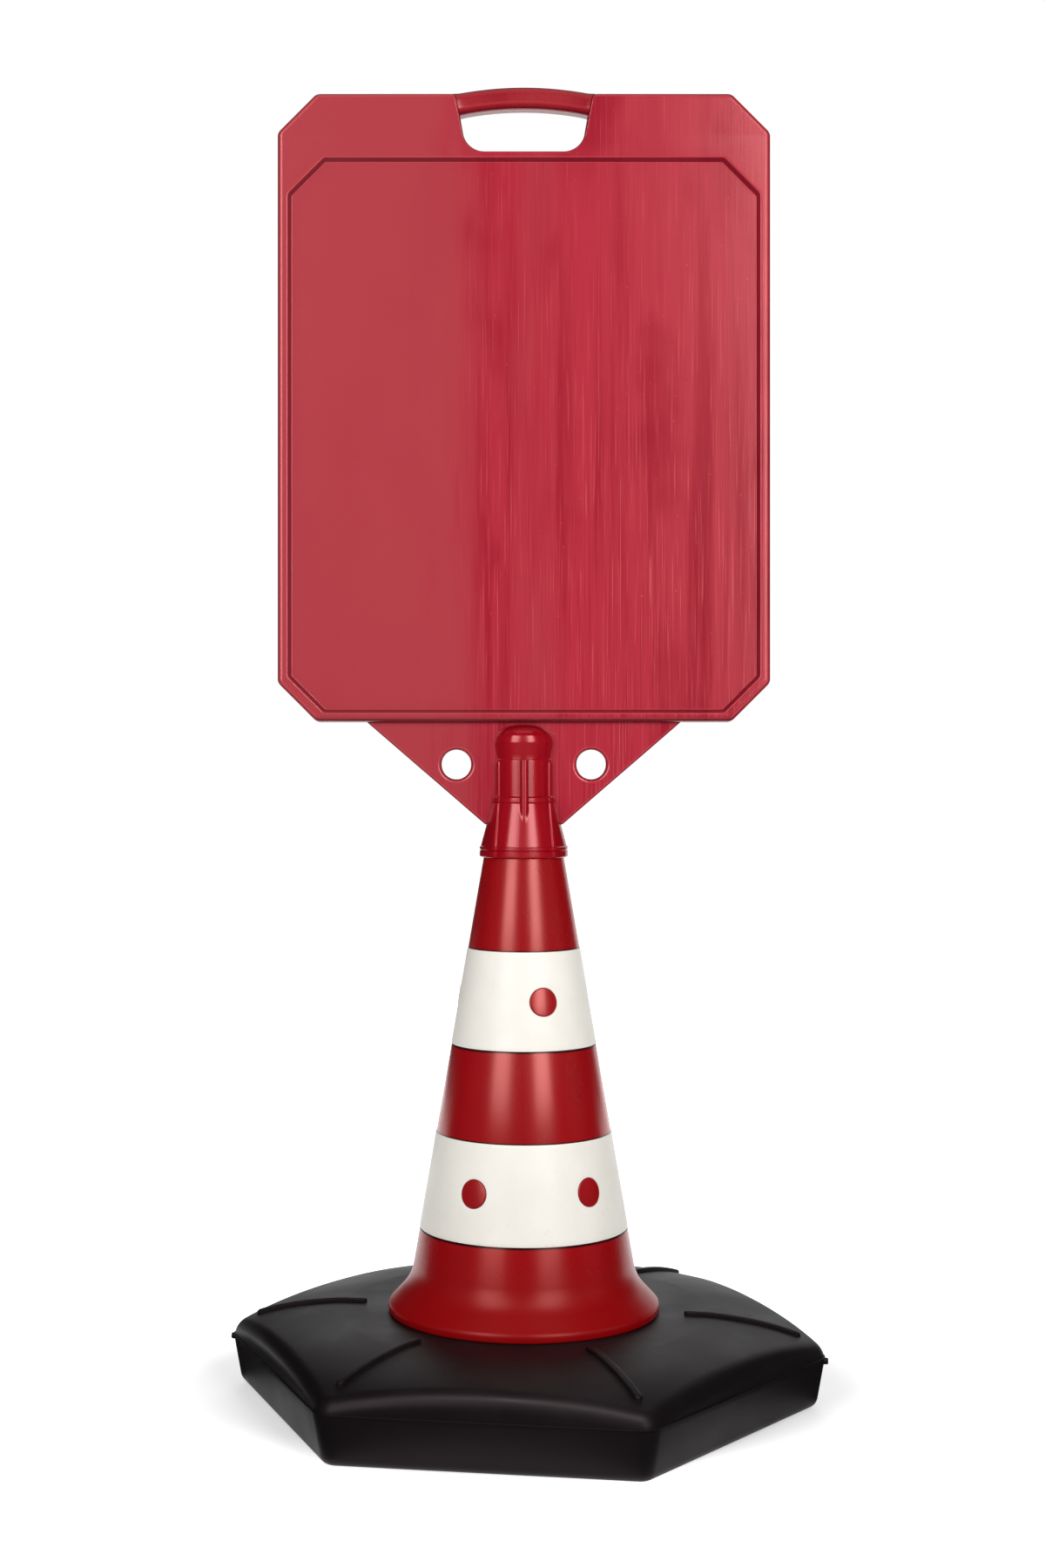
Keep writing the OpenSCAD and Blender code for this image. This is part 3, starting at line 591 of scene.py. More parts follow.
def open_holes(grid, holes):
    """Opens round holes in a grid of flat places, rows x columns x 2. Each hole is (row, column, half-rows,
    half-columns, centre, radius). Returns all flat places and their faces; columns run in a ring."""
    rows, columns = grid.shape[:2]
    number = np.arange(rows * columns).reshape(rows, columns)
    keep = np.ones((rows - 1, columns), bool)
    places, faces, total = [grid.reshape(-1, 2)], [], rows * columns
    half_turn = grid_turn(grid) / 2
    for row, column, half_rows, half_columns, centre, radius in holes:
        up = np.arange(row - half_rows, row + half_rows + 1)
        along = np.arange(column - half_columns, column + half_columns + 1) % columns
        keep[np.ix_(up[:-1], along[:-1])] = False
        edge = np.concatenate([
            number[up[0], along], number[up[1:], along[-1]],
            number[up[-1], along[-2::-1]], number[up[-2:0:-1], along[0]],
        ])
        away = grid.reshape(-1, 2)[edge] - centre
        away[:, 0] = (away[:, 0] + half_turn) % (2 * half_turn) - half_turn
        share = np.linspace(0, 1, HOLE_ROWS)[:, None, None]
        places.append((centre + away + (radius * unit(away) - away) * share).reshape(-1, 2))
        faces.append(grid_faces(HOLE_ROWS, len(edge)) + total)
        total += HOLE_ROWS * len(edge)
    faces.append(grid_faces(rows, columns)[keep.ravel()])
    return np.concatenate(places), np.concatenate(faces)


print("a hole is ringed by", HOLE_ROWS, "rows of points")

# %% The two sleeves
SLEEVE_GAP_LOW, SLEEVE_GAP_TOP, WINDOW, WINDOW_ROWS = 0.8, 0.1, 14.0, 5


def sleeve(name, node, z, count, first, columns=180, rows=24):
    """A band on the unrolled cone, opened at each boss, wrapped on and then given its thickness."""
    middle = z + SLEEVE_TALL / 2
    girth = 2 * np.pi * cone_radius(middle)
    around = np.arange(columns) * girth / columns
    slope = SLEEVE_TALL / 2 / math.cos(TILT)
    up = np.linspace(SLEEVE_GAP_LOW - slope, slope - SLEEVE_GAP_TOP, rows + 1)
    grid = np.stack(np.broadcast_arrays(around[None, :], up[:, None]), -1)
    window = (WINDOW_ROWS, int(np.ceil(WINDOW / (girth / columns))))
    holes = [
        (rows // 2, int(round(turn * columns)), *window, np.array([turn * girth, 0.0]), BOSS + BOSS_ROOM)
        for turn in boss_turns(count, first)
    ]
    places, faces = open_holes(grid, holes)
    points = on_cone(places[:, 0], places[:, 1], SLEEVE_PROUD, middle)
    piece = make_piece(name, [(points, faces)], sleeve_white, "stand", "sleeve_white", node)
    wall = piece.modifiers.new("wall", "SOLIDIFY")
    wall.thickness, wall.offset = SLEEVE_WALL * MM, -1.0
    soft = piece.modifiers.new("soft_edge", "BEVEL")
    soft.width, soft.segments, soft.angle_limit = 0.3 * MM, 2, math.radians(60)


for where, place in SLEEVES.items():
    sleeve(f"{where}_sleeve", f"{where}_band", *place)

# %% [markdown]
# ## The ballast base
# The base is a blow-moulded hexagon with rounded corners, filled through a plug behind the cone. Its side
# leans in below the moulding line, its top is gently crowned, and six ribs run out to the corners. A
# bevelled prism would be a start, but its top would stay flat. So the skin is one grid: every row is a
# rounded hexagon, moved in and lifted by the section of the base.

# %% Hexagonal rings
BASE_ACROSS, BASE_CORNER, BASE_TURN = 446.0, 18.0, math.radians(-9)
CROWN, CROWN_DROP, TOP_EDGE, PARTING = 66.0, 22.0, 14.0, 34.0
SIXTH = math.pi / 3
CORNER_LINES = BASE_TURN + SIXTH * np.arange(6)


def hexagon_rings(insets, arc=11, run=22):
    """Rounded hexagons, one per inset: six arcs about points on the corner lines, joined by straight runs."""
    corner = np.maximum(BASE_CORNER - insets, 1.0)
    slant = 1 / math.cos(SIXTH / 2)
    centre = BASE_ACROSS / 2 + BASE_CORNER * (slant - 1) - insets * slant - corner * slant
    spread = CORNER_LINES[:, None] + np.linspace(-SIXTH / 2, SIXTH / 2, arc)
    middles = centre[:, None, None, None] * direction(CORNER_LINES)[:, None]
    arcs = middles + corner[:, None, None, None] * direction(spread)
    share = np.linspace(0, 1, run + 2)[1:-1, None]
    ends, starts = arcs[:, :, -1:], np.roll(arcs[:, :, :1], -1, axis=1)
    return np.concatenate([arcs, ends + (starts - ends) * share], 2).reshape(len(insets), -1, 2)


def on_crown(places, above=0.0):
    """Flat places lifted onto the crowned top, which falls with the fifth power of the distance and is cut
    flat at the seat. above is a height over it."""
    away = np.linalg.norm(places, axis=-1) / (BASE_ACROSS / 2)
    return raised(places, np.minimum(CROWN - CROWN_DROP * away**5, SEAT) + above)


print("one ring has", hexagon_rings(np.zeros(1)).shape[1], "points")

# %% Side, moulding line and soft top edge
FLASH, FLOOR_IN, SIDE_LEAN, FOOT_ROUND = PARTING + 3, 18.0, 6.0, 8.0
foot_line = [(FLOOR_IN, 0.0), (SIDE_LEAN, 0.0), (0.0, PARTING - 0.8)]
foot_curve = rounded_line(foot_line, [FOOT_ROUND], steps=9)
flash = np.array([(-0.1, -0.6), (-0.7, -0.3), (-0.8, 0.0), (-0.7, 0.3), (0.0, 0.7)]) + (0, FLASH)
side = np.concatenate([foot_curve, flash])
side_rings = hexagon_rings(side[:, 0])

round_to = math.radians(76)
turn = np.linspace(0, round_to, 12)
edge_rings = hexagon_rings(TOP_EDGE * (1 - np.cos(turn)))
rim = edge_rings[-1]
edge_start = on_crown(rim)[:, 2] - TOP_EDGE * math.sin(round_to)
edge_high = edge_start + TOP_EDGE * np.sin(turn)[:, None]
skin = np.concatenate([raised(side_rings, side[:, 1:]), raised(edge_rings, edge_high)])
print("the top edge starts at", round(edge_start.min(), 1), "to", round(edge_start.max(), 1), "mm")

# %% Crown, opened for the filler neck
SEAT_EDGE, FILLER_OUT, FILLER_BORE, NECK = 104.0, 146.04, 14.0, 20.0
filler_line = BASE_TURN + 1.5 * SIXTH
filler_place = FILLER_OUT * direction(filler_line)
toward = np.linspace(0, 1, 34)[:, None, None]
seat_ring = SEAT_EDGE * unit(rim)
crown_grid = rim + (seat_ring - rim) * toward
apart = np.linalg.norm(crown_grid - filler_place, axis=2)
nearest = np.unravel_index(apart.argmin(), apart.shape)
half_rows, half_columns = 11, 4
filler_hole = (*nearest, half_rows, half_columns, filler_place, NECK)
crown_places, crown_faces = open_holes(crown_grid, [filler_hole])
hole_row = crown_places[apart.size:].reshape(HOLE_ROWS, -1, 2)[-1]
print("the crown has", len(crown_faces), "faces and a hole of", NECK, "mm radius")

# %% [markdown]
# The neck stands on the rim of that hole, so its first row is the hole's own last row. Below the base, the
# four pockets for the fixing screws are small lathes, and the flat floor is filled around them.

# %% Filler neck, seat, floor and screw pockets
LIP, NECK_FLOOR = 66.0, 46.0
RING_OUT, RING_IN, RING_TOP = 60.0, 56.0, SEAT + 10
POCKET, POCKET_TOP, POCKET_CIRCLE = 11.0, SEAT - 10, 76.0
neck_section = rounded_line(
    [(NECK, SEAT + 0.6), (NECK, LIP), (FILLER_BORE, LIP), (FILLER_BORE, NECK_FLOOR), (0.0, NECK_FLOOR - 0.1)],
    [0.7, 0.6, 0.4],
)
neck_circles = filler_place + neck_section[:, :1, None] * (hole_row - filler_place) / NECK
neck_rows = raised(neck_circles, neck_section[:, 1:])
neck_sheet = sheet(np.concatenate([on_crown(hole_row)[None], neck_rows]))

seat_section = np.array([
    (SEAT_EDGE, SEAT), (RING_OUT, SEAT), (RING_OUT, RING_TOP),
    (RING_IN, RING_TOP), (RING_IN, SEAT), (0.0, SEAT),
])
seat_rows = raised(seat_ring * seat_section[:, :1, None] / SEAT_EDGE, seat_section[:, 1:])
seat_sheet = sheet(np.concatenate([on_crown(seat_ring)[None], seat_rows]))

pocket = rounded_line([(POCKET + 1, 0.0), (POCKET, 0.0), (POCKET, POCKET_TOP), (0.0, POCKET_TOP)], [0.8, 1.0])
pocket_places = POCKET_CIRCLE * direction(BASE_TURN + math.pi / 4 + math.pi / 2 * np.arange(4))
pockets = [lathe(pocket, 48, place) for place in pocket_places]
floor = flat_fill([side_rings[0]] + [grid[0, :, :2] for grid in pockets], 2, 0.0)
print("floor:", len(floor[1]), "triangles round", len(pockets), "pockets")

# %% Ribs towards the corners, and the nubs where the mould pinched the tube
BEAD_START, BEAD_END, BEAD_HALF, BEAD_TALL, BEAD_SUNK = 123.0, 203.0, 3.0, 3.0, -1.0


def rib(line):
    """A bead with round ends along a corner line: a stadium outline, moved in and lifted over the crown. Its
    first and last rows lie on its middle line, which closes it below and on top."""
    turn = np.linspace(-np.pi / 2, np.pi / 2, 13)
    run = np.linspace(BEAD_START, BEAD_END, 25)
    ahead = np.column_stack([run, np.full(len(run), -BEAD_HALF)])
    tip = (BEAD_END, 0) + BEAD_HALF * direction(turn[1:])
    both_ends = np.array([BEAD_START + BEAD_END, 0])
    loop = np.concatenate([ahead, tip, both_ends - ahead[1:], both_ends - tip[:-1]])
    slope = [(0.0, BEAD_SUNK), (0.3, BEAD_TALL - 0.4), (1.6, BEAD_TALL), (BEAD_HALF, BEAD_TALL)]
    section = np.concatenate([[(BEAD_HALF, BEAD_SUNK)], rounded_line(slope, [0.7, 0.8], steps=4)])
    places = inset_loops(loop, section[:, :1])
    places[[0, -1]] = np.column_stack([np.clip(loop[:, 0], BEAD_START, BEAD_END), np.zeros(len(loop))])
    return sheet(on_crown(pointed(places, line), section[:, 1:]))


def nub(line):
    """A blunt pin that points outwards: a lathe laid on its side."""
    radius, out = rounded_line([(0.0, 3.0), (2.3, 3.0), (2.6, -3.0), (0.0, -3.0)], [0.9, 0.2]).T[..., None]
    ring = np.linspace(0, 2 * np.pi, 20, endpoint=False)
    places = np.stack(np.broadcast_arrays(BASE_ACROSS / 2 + out, radius * np.cos(ring)), -1)
    return sheet(raised(pointed(places, line), PARTING + radius * np.sin(ring)))


crown = (on_crown(crown_places), crown_faces)
ribs = [rib(line) for line in CORNER_LINES]
nubs = [nub(line) for line in CORNER_LINES[::3]]
base_sheets = [sheet(skin), crown, neck_sheet, seat_sheet, floor] + ribs + nubs
base_sheets += [sheet(grid) for grid in pockets]
base = make_piece("base", base_sheets, base_black, "stand", "base_black", "base_shell")
weight_normals(base)

# %% [markdown]
# The plug is a flanged bung with a sunk dish and a finger bar. Bevelled blocks and cylinders could be joined
# for it. Here it is a lathe, and the bar a rounded block made from the same kind of loop as the ribs, so
# both take their heights from the neck's lip.

# %% Filler plug
PLUG, PLUG_HOLLOW, PLUG_FLANGE, PLUG_DISH = 13.7, 10.7, 17.0, 11.0
PLUG_LOW, DISH_FLOOR, PLUG_TOP = LIP - 16, LIP + 2, LIP + 4


def plug_bar():
    """A bar across the dish: a rounded rectangle, moved in and lifted, and closed below and on top."""
    loop = rounded_loop(rectangle(10.6, 2.5), 1.2, steps=4)
    section = np.array([(0.0, -2.4), (0.0, -0.6), (0.25, -0.15), (0.7, 0.0), (1.19, 0.0)]) + (0, PLUG_TOP)
    places = filler_place + pointed(inset_loops(loop, section[:, :1]), filler_line)
    caps = [flat_fill([places[end]], 2, section[end, 1]) for end in (0, -1)]
    return [sheet(raised(places, section[:, 1:]))] + caps


plug_profile = rounded_line(
    [
        (0.0, DISH_FLOOR), (PLUG_DISH, DISH_FLOOR), (PLUG_DISH, PLUG_TOP), (PLUG_FLANGE, PLUG_TOP),
        (PLUG_FLANGE, LIP), (PLUG, LIP), (PLUG, PLUG_LOW), (PLUG_HOLLOW, PLUG_LOW),
        (PLUG_HOLLOW, LIP), (0.0, LIP),
    ],
    [0.6, 0.5, 0.9, 0.5, 0.3, 0.6, 0.5, 0.5],
)
plug_sheets = [sheet(lathe(plug_profile, 64, filler_place))] + plug_bar()
weight_normals(make_piece("plug", plug_sheets, plug_black, "filler", "plug_black", "filler_plug"))

# %% [markdown]
# ## The sign board
# The board is one hollow moulding, but four shapes show: the framed board itself, the grip, the web below
# it and the socket. A solid could be cut and bevelled step by step. Here the frame is a round-edged section
# carried round the outline, which also runs down into the hand slot and back, and a second section, carried
# round the panel, steps down to its floor.

# %% Outline of the board with its hand slot, and outline of the panel
BOARD_HALF, BOARD_TOP, CORNER_CUT, BOARD_HALF_DEEP = 184.0, 973.0, 29.0, 12.0
SLOT_HALF, SLOT_FLOOR_HALF, SLOT_FLOOR, SLOT_EDGE = 50.5, 43.0, BOARD_TOP - 43, 0.4
MARGIN_SIDE, MARGIN_LOW, MARGIN_TOP, PANEL_CUT = 7.5, 6.5, 48.0, 27.0


def cut_rectangle(half, low, high, cut):
    """The eight corners of an upright rectangle with cut corners, from the lower left round to the right."""
    return [
        (-half + cut, low), (half - cut, low), (half, low + cut), (half, high - cut),
        (half - cut, high), (-half + cut, high), (-half, high - cut), (-half, low + cut),
    ]


corners = cut_rectangle(BOARD_HALF, BOARD_LOW, BOARD_TOP, CORNER_CUT)
slot = [
    (SLOT_HALF, BOARD_TOP), (SLOT_FLOOR_HALF, SLOT_FLOOR),
    (-SLOT_FLOOR_HALF, SLOT_FLOOR), (-SLOT_HALF, BOARD_TOP),
]
board_radii = [7] * 5 + [5, 16, 16, 5] + [7] * 3
board_loop = rounded_loop(corners[:5] + slot + corners[5:], board_radii, steps=10)
# The rim's round edge narrows to SLOT_EDGE of its width where the outline runs into the slot.
beside_slot = np.clip((60 - np.abs(board_loop[:, 0])) / 14, 0, 1)
slot_share = beside_slot * (board_loop[:, 1] > SLOT_FLOOR - 30)
edge_share = 1 - (1 - SLOT_EDGE) * slot_share

panel_corners = cut_rectangle(
    BOARD_HALF - MARGIN_SIDE, BOARD_LOW + MARGIN_LOW, BOARD_TOP - MARGIN_TOP, PANEL_CUT
)
panel_loop = rounded_loop(panel_corners, 5, steps=8)
print("board outline:", len(board_loop), "points; panel outline:", len(panel_loop), "points")

# %% Rim, step and faces of the board
EDGE, PANEL_SINK = 4.0, 4.0


def round_edges(radius, half):
    """Sections of a plate's front and back edge: each is a quarter circle. half is half the plate's depth."""
    quarter = np.linspace(0, np.pi / 2, 9)
    front = radius * (1 - np.stack([np.sin(quarter), np.cos(quarter)], 1)) - (0, half)
    return front, front[::-1] * (1, -1)


def upright_fill(grids, depth):
    """Fills the first row of the first grid and leaves those of the others open, at depth y."""
    return flat_fill([grid[0][:, [0, 2]] for grid in grids], 1, depth)


def to_back(some):
    """The same sheet on the back: y changes its sign."""
    points, faces = some
    return points * (1, -1, 1), faces


front_edge, back_edge = round_edges(EDGE, BOARD_HALF_DEEP)
seam = np.array([(0.0, -0.9), (-0.3, -0.4), (-0.3, 0.4), (0.0, 0.9)])
rim_grid = carried(board_loop, np.concatenate([front_edge, seam, back_edge]), edge_share)

step = [(-1.6, 0.0), (0.0, 0.0), (2.8, PANEL_SINK), (4.6, PANEL_SINK)]
step_grid = carried(panel_loop, rounded_line(step, [1.8, 1.0], steps=7) - (0, BOARD_HALF_DEEP))

frame_face = upright_fill([rim_grid, step_grid], -BOARD_HALF_DEEP)
panel_floor = upright_fill([step_grid[::-1]], PANEL_SINK - BOARD_HALF_DEEP)
one_side = [sheet(step_grid), frame_face, panel_floor]
board_sheets = [sheet(rim_grid)] + one_side + [to_back(some) for some in one_side]
weight_normals(make_piece("board", board_sheets, board_red, "sign", "board_red", "sign_board"))

# %% [markdown]
# The carrying grip bridges the slot as a shallow arch. Its section is a rounded rectangle, carried along
# an arc whose ends run into the board, and it swells a little there as a moulded fillet does. A bevelled
# curve could follow the arc too; here the swelling gets a formula of its own.

# %% Carrying grip
ARCH, GRIP_RISE, GRIP_TALL, GRIP_DEEP = 259.7, 6.0, 16.5, 20.0
GRIP_LINE = ARCH - GRIP_TALL / 2
grip_loop = rounded_loop(rectangle(GRIP_TALL / 2, GRIP_DEEP / 2), 6.5, steps=8)
lean = np.radians(13.2) * np.linspace(-1, 1, 61)[:, None]
to_wall = np.clip(SLOT_HALF - np.abs(GRIP_LINE * np.sin(lean)), 0, None)
swell = 1 + 0.09 * np.exp(-to_wall / 2.2)
radial = GRIP_LINE + grip_loop[:, 0] * swell
arch_centre = BOARD_TOP + GRIP_RISE - ARCH
high = arch_centre + radial * np.cos(lean)
grip_grid = np.stack([radial * np.sin(lean), grip_loop[:, 1] * swell, high], -1)
ends = np.repeat(grip_grid[[0, -1]].mean(1)[:, None], len(grip_loop), 1)
grip_sheet = sheet(np.concatenate([ends[:1], grip_grid, ends[1:]]))
make_piece("grip", [grip_sheet], grip_red, "sign", "board_red", "sign_board")

# %% [markdown]
# The web under the board is a flat plate with two round holes. Its outer edge and both holes have the same
# kind of round section, carried round the outline and round two circles. The faces are filled between them,
# which needs no boolean.

# %% Web with its two holes
WEB_HALF, WEB_FOOT, WEB_LOW, WEB_TOP, WEB_HALF_DEEP = 118.0, 29.0, BOARD_LOW - 77, BOARD_LOW + 7, 6.0
WEB_EDGE, HOLE, HOLE_EDGE, HOLE_APART, HOLE_HIGH = 2.5, 11.0, 3.2, 50.5, BOARD_LOW - 32
web_corners = [
    (-WEB_FOOT, WEB_LOW), (WEB_FOOT, WEB_LOW), (WEB_HALF, BOARD_LOW),
    (WEB_HALF, WEB_TOP), (-WEB_HALF, WEB_TOP), (-WEB_HALF, BOARD_LOW),
]
web_loop = rounded_loop(web_corners, [2.6, 2.6, 3, 2.6, 2.6, 3], steps=6)
web_grid = carried(web_loop, np.concatenate(round_edges(WEB_EDGE, WEB_HALF_DEEP)))

circle = HOLE * direction(np.linspace(0, -2 * np.pi, 64, endpoint=False))
hole_section = np.concatenate(round_edges(HOLE_EDGE, WEB_HALF_DEEP))
hole_grids = [carried(circle + (x, HOLE_HIGH), hole_section) for x in (-HOLE_APART, HOLE_APART)]
web_face = upright_fill([web_grid] + hole_grids, -WEB_HALF_DEEP)
web_sheets = [sheet(web_grid), web_face, to_back(web_face)] + [sheet(grid) for grid in hole_grids]
weight_normals(make_piece("web", web_sheets, board_red, "sign", "board_red", "sign_board"))

# %% [markdown]
# ## The socket
# The socket swallows the cone's tip. From the mouth up it has a ring, a flare, a collar, a neck and a dome,
# with raised cheeks left and right and a rib down its front and back. Separate blocks could be joined to a
# turned body, but their edges would need blending. So it is a lathe whose radius also depends on the angle.
# The columns lean so that one of them follows each cheek's edge exactly.

# %% Section of the socket, from the top of the dome down and up again inside
MOUTH = SHOULDER - 13
COLLAR, NECK_TOP = MOUTH + 41, MOUTH + 72.5
DOME, DOME_LOW, DOME_TALL, FULL = 22.7, 85.4, 13.9, 0.8
# The dome is fuller than a round one: the sine and the cosine are taken to a power below 1.
over = np.linspace(0, 1.44, 18)
dome = np.column_stack([DOME * np.sin(over) ** FULL, DOME_LOW + DOME_TALL * np.cos(over) ** FULL])
neck = [(DOME, 87.0), (DOME, DOME_LOW), (21.0, 76.2), (20.8, 73.6), (21.6, 72.5), (21.6, 45.6)]
collar = [(23.5, 44.4), (23.5, 41.0), (22.8, 40.4)]
mouth = [(31.4, 8.3), (32.3, 7.7), (32.3, 5.9), (31.5, 5.3), (32.34, 4.6), (32.34, 0.0), (31.0, 0.0)]
neck_radii = [7.0, 1.5, 0.6, 0.5, 0.8]
collar_radii = [0.7, 0.5, 0.6]
mouth_radii = [0.4, 0.4, 0.2, 0.2, 0.3, 0.9]
below = rounded_line(neck + collar + mouth, neck_radii + collar_radii + mouth_radii, steps=7)
bore = [(31.0, 0.0), (30.34, 0.0), (28.1, 13.0), (18.8, 13.0), (18.8, 95.3), (0.0, 95.3)]
inner = rounded_line(bore, [0.3, 0.6, 0.6, 8.8], steps=6) + (0, MOUTH)


def fill_in(profile, longest=2.5):
    """Adds points along long runs of a profile so that no step is longer than given."""
    step = np.linalg.norm(np.diff(profile, axis=0), axis=1)
    along = np.concatenate([[0], np.cumsum(np.maximum(step, 1e-6))])
    where = np.union1d(along, np.arange(longest, along[-1], longest))
    return np.column_stack([np.interp(where, along, column) for column in profile.T])


outer = fill_in(np.concatenate([dome, below[1:]]) + (0, MOUTH))
print("socket section:", len(outer), "points outside,", len(inner), "inside")

# %% Columns that follow the cheeks' edges and crowd together on the rib
CHEEK_OUT, CHEEK_BLEND, BLEND_RADIUS = 0.9, 0.5, 15.0
RIB_ROUND, RIB_AHEAD, RIB_LOW = 3.25, 22.75, COLLAR - 14
plain_radius, height = outer[:, :1], outer[:, 1:]
cheek_x = np.interp(height, [MOUTH, MOUTH + 45], [21.5, 18.3])
cheek_edge = np.arccos(np.clip(cheek_x / np.maximum(plain_radius, cheek_x + 0.4), 0, 1))
# The blend on each side of a cheek's edge, as an angle. Near the axis it stops growing.
blend = CHEEK_BLEND / np.maximum(plain_radius, BLEND_RADIUS)
rib_edge = np.pi / 2 - math.asin(RIB_ROUND / RIB_AHEAD)
over_rib = rib_edge + (np.pi / 2 - rib_edge) * np.linspace(0, 1, 12)[1:]
quarter_turn = np.concatenate([
    (cheek_edge - blend) * np.linspace(0, 1, 9)[:-1],
    cheek_edge + blend * np.linspace(-1, 1, 5),
    cheek_edge + blend + (rib_edge - cheek_edge - blend) * np.linspace(0, 1, 10)[1:],
    np.broadcast_to(over_rib, (len(outer), len(over_rib))),
], 1)
half_turn = np.concatenate([quarter_turn, np.pi - quarter_turn[:, -2::-1]], 1)
angle = np.concatenate([half_turn, half_turn[:, 1:-1] + np.pi], 1)
print("the socket has", angle.shape[1], "columns")


# %% Cheeks and ribs on the socket
def cheek_lift():
    """Height of the cheeks over the turned section: full past their edge, none before it or over the neck."""
    inwards = np.abs(np.arcsin(np.clip(np.sin(angle), -1, 1))) - cheek_edge
    lift = np.clip(0.5 - inwards / (2 * blend), 0, 1)
    return CHEEK_OUT * lift * lift * (3 - 2 * lift) * (height < NECK_TOP - 0.2)


def rib_radius():
    """Distance from the axis to the rib's round front, along each column; none beside it or past its end."""
    off = np.abs(np.cos(angle)) * RIB_AHEAD
    end = np.clip((RIB_LOW + RIB_ROUND - height) / RIB_ROUND, 0, 1)
    thick = np.clip(RIB_ROUND**2 * (1 - end**2) - off**2, 0, None)
    on_rib = (thick > 0) & (height > RIB_LOW) & (height < NECK_TOP + 0.3)
    return np.where(on_rib, RIB_AHEAD * np.abs(np.sin(angle)) + np.sqrt(thick), 0)


outside = np.maximum(plain_radius + cheek_lift(), rib_radius())
outer_grid = raised(outside[..., None] * direction(angle), height)
inner_grid = raised(inner[:, :1, None] * direction(angle[-1]), inner[:, 1:])
socket_sheet = sheet(np.concatenate([outer_grid, inner_grid]))
make_piece("socket", [socket_sheet], socket_red, "sign", "board_red", "sign_board")

# %% [markdown]
# ## Pieces kept from the CAD model
# The screws, their washers, the rubber ring and the sand in the base are right as they are, so they only get
# finishes. All three could be plain colours, but close up each has a grain: deep in the sand, shallow in the
# rubber, and hardly more than clouding on the zinc plating of the screws.


# %% Finishes for the kept pieces
def plain_finish(name, first, second, cells, rough, metal, depth):
    """One noise, with cells per metre, that mixes two colours and two roughnesses and is depth mm deep."""
    finish, tree, shader = new_finish(name)
    cloud = noise(tree, (cells, cells, cells), 4)
    colour = tint(tree, remap(tree, cloud, 0.3, 0.7), first, second)
    clouded = remap(tree, cloud, 0.3, 0.7, *rough)
    wire(tree, shader, {"Base Color": colour, "Roughness": clouded, "Metallic": metal})
    roughen(tree, shader, cloud, depth, 0.6)
    return finish


zinc = plain_finish("zinc", (0.56, 0.57, 0.58), (0.46, 0.47, 0.49), 400, (0.28, 0.42), 1.0, 0.02)
rubber = plain_finish("rubber", (0.012, 0.012, 0.012), (0.026, 0.025, 0.025), 600, (0.6, 0.75), 0.0, 0.05)
sand = plain_finish("sand", (0.30, 0.26, 0.21), (0.19, 0.16, 0.13), 1400, (0.85, 0.95), 0.0, 0.6)
kept = {"cone_fixing_screws": zinc, "cone_fixing_washers": zinc, "grip_ring": rubber, "ballast_fill": sand}
for node, finish in kept.items():
    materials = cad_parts[node].data.materials
    materials.clear()
    materials.append(finish)
print("kept from the CAD model:", sorted(kept))

# %% [markdown]
# ## Studio
# The photograph was taken against white. The floor is pale and takes the shadow, and what the camera and
# the gloss see beyond it is plain white. More light on the object could make that white too, but it would
# bleach the reds, so the floor and the world are bright only for the rays that look at them.


# %% Pale floor
def stage_sheet(name, points, faces, finish):
    """A sheet of the studio, which isn't part of the object."""
    mesh = bpy.data.meshes.new(name)
    mesh.from_pydata(points, [], faces)
    mesh.materials.append(finish)
    panel = bpy.data.objects.new(name, mesh)
    bpy.context.scene.collection.objects.link(panel)
    return panel


def square_sheet(name, half, z, finish):
    """A level square round the object's axis, in metres."""
    return stage_sheet(name, [(x, y, z) for x, y in rectangle(half, half)], [(0, 1, 2, 3)], finish)


def seen_directly(tree):
    """1 for camera, mirror and glass rays, and 0 for the rays that light the object."""
    path = add_node(tree, "ShaderNodeLightPath").outputs
    seen = larger(tree, path["Is Camera Ray"], path["Is Glossy Ray"])
    return larger(tree, seen, path["Is Transmission Ray"])


def floor_finish(name):
    """Pale and matt. It glows white to the eye, less so in an oval round the base, where the shadow lies."""
    finish, tree, shader = new_finish(name)
    place = add_node(tree, "ShaderNodeTexCoord").outputs["Object"]
    spread = {"Vector": place, "Location": (0, -0.12, 0), "Scale": (2.9, 4.1, 1)}
    oval = add_node(tree, "ShaderNodeMapping", spread).outputs[0]
    away = add_node(tree, "ShaderNodeVectorMath", {0: oval}, operation="LENGTH").outputs["Value"]
    glow = times(tree, seen_directly(tree), remap(tree, away, 0.68, 1.00, 0.42, 1.0))
    wire(tree, shader, {
        "Base Color": (0.80, 0.80, 0.80, 1), "Roughness": 0.9, "Specular IOR Level": 0.0,
        "Emission Color": (1, 1, 1, 1), "Emission Strength": glow,
    })
    return finish


ground = square_sheet("ground", 30, -0.6 * MM, floor_finish("pale_floor"))
print("floor:", ground.name)

# %% [markdown]
# Mirrored in glossy plastic, all that white would veil the reds. A studio sets dark flags for it. Real ones
# would also take light from the object, so these are seen by glossy rays alone: a wall with a gap behind
# the object, a sheet on the floor and a roof.

# %% Dark flags that only the gloss sees
FLAG_OUT, FLAG_TOP, FLAG_COLUMNS = 3.2, 3.2, 49
card, card_tree, card_shader = new_finish("dark_card")
wire(card_tree, card_shader, {"Base Color": (0.02, 0.02, 0.02, 1), "Roughness": 1.0})


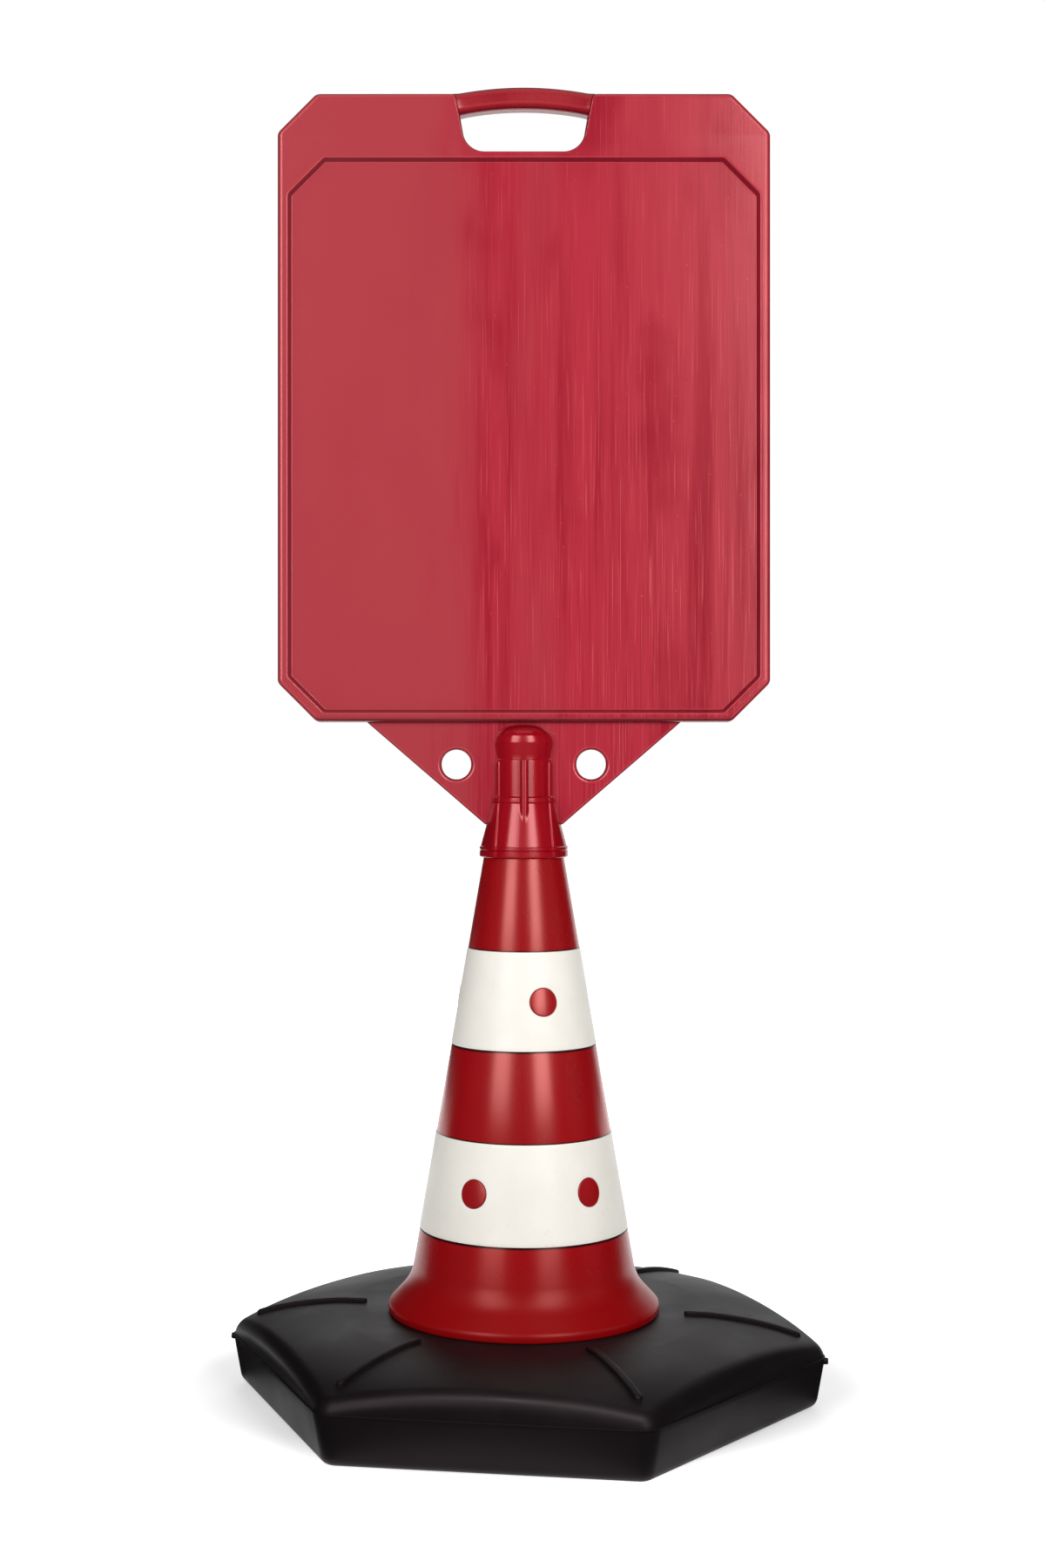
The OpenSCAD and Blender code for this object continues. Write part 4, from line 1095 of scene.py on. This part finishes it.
def flag_strip(name, start, end, inner, outer):
    """A strip round the object between two bearings, 0 behind it and 180 behind the camera. inner and outer
    are (distance, height): equal distances give a wall and equal heights a sheet on the floor."""
    bearing = np.radians(np.linspace(start, end, FLAG_COLUMNS))
    line = np.column_stack([np.sin(bearing), np.cos(bearing), np.ones(FLAG_COLUMNS)])
    points = np.concatenate([line * (away, away, high) for away, high in (inner, outer)])
    return stage_sheet(name, points.tolist(), grid_faces(2, FLAG_COLUMNS, ring=False).tolist(), card)


flags = [
    flag_strip("flag_wall", 40, 344, (FLAG_OUT, 0.0), (FLAG_OUT, FLAG_TOP)),
    flag_strip("flag_floor", 60, 300, (0.225, 0.0), (FLAG_OUT, 0.0)),
    square_sheet("flag_roof", FLAG_OUT, FLAG_TOP, card),
]
for flag in flags:
    flag.visible_camera = flag.visible_diffuse = flag.visible_shadow = flag.visible_transmission = False
print("dark flags:", len(flags))

# %% [markdown]
# A tall softbox on each side of the camera shows as an upright highlight on the cone. A weak lamp hangs
# overhead. Three fills lift the back and the sides, and the gloss doesn't see them, so they add no
# highlights. A slim boom lights the base alone, and only as a highlight along its top edges.

# %% World and lamps
world = bpy.data.worlds.new("studio")
bpy.context.scene.world = world
world.use_nodes = True
sky_tree = world.node_tree
level = remap(sky_tree, seen_directly(sky_tree), 0.0, 1.0, 0.15, 1.0)
wire(sky_tree, sky_tree.nodes["Background"], {"Color": (1, 1, 1, 1), "Strength": level})


def soft_light(name, place, aim, size, power):
    """A rectangular softbox at place that faces aim: its own z points back, and its own x lies level."""
    lamp = bpy.data.lights.new(name, "AREA")
    lamp.shape, lamp.size, lamp.size_y, lamp.energy = "RECTANGLE", size[0], size[1], power
    holder = bpy.data.objects.new(name, lamp)
    bpy.context.scene.collection.objects.link(holder)
    back = unit(np.subtract(place, aim))
    right = unit(np.cross((0, 0, 1), back)) if abs(back[2]) < 0.99 else np.array((1.0, 0, 0))
    turn = np.eye(4)
    turn[:3, :3] = np.column_stack([right, np.cross(back, right), back])
    turn[:3, 3] = place
    holder.matrix_world = Matrix(turn.tolist())
    holder.visible_camera = False
    return holder


soft_light("left_softbox", (-1.02, -1.48, 1.13), (0, 0, 0.6), (0.85, 1.42), 17.8)
soft_light("right_softbox", (0.80, -1.61, 1.13), (0, 0, 0.6), (0.75, 1.42), 18.8)
soft_light("overhead", (0, 0.1, 2.6), (0, 0, 0.4), (1.6, 1.6), 4)
boom = soft_light("boom", (0, -1.2, 1.9), (0, 0, 0.1), (1.4, 0.14), 34)
boom.visible_diffuse = False
boom_light = bpy.data.collections.new("lit_by_boom")
boom_light.objects.link(base)
boom.light_linking.receiver_collection = boom_light
fills = [
    soft_light("back_fill", (0, 2.6, 0.85), (0, 0, 0.5), (1.8, 1.2), 34),
    soft_light("right_fill", (2.2, -0.6, 0.8), (0, 0, 0.5), (0.8, 1.2), 10),
    soft_light("left_fill", (-2.2, -0.6, 0.8), (0, 0, 0.5), (0.8, 1.2), 4),
]
for fill in fills:
    fill.visible_glossy = False

# %% [markdown]
# The camera looks level from where the photograph was taken. It could be set by eye, but its place, its lens
# and its shift were fitted to the base's corners and the sleeves' edges, so the sizes agree all over.

# %% Camera
lens = bpy.data.cameras.new("camera")
lens.sensor_width, lens.lens = 36.0, 50.82
lens.shift_x, lens.shift_y = 0.0247, -0.0294
camera = bpy.data.objects.new("camera", lens)
camera.location = (-0.030, -1.662, 0.492)
camera.rotation_euler = (math.pi / 2, 0, 0)
bpy.context.scene.collection.objects.link(camera)
bpy.context.scene.camera = camera
bpy.context.scene.view_settings.view_transform = "Standard"
print("camera at", [round(side, 3) for side in camera.location], "with a lens of", round(lens.lens, 2), "mm")
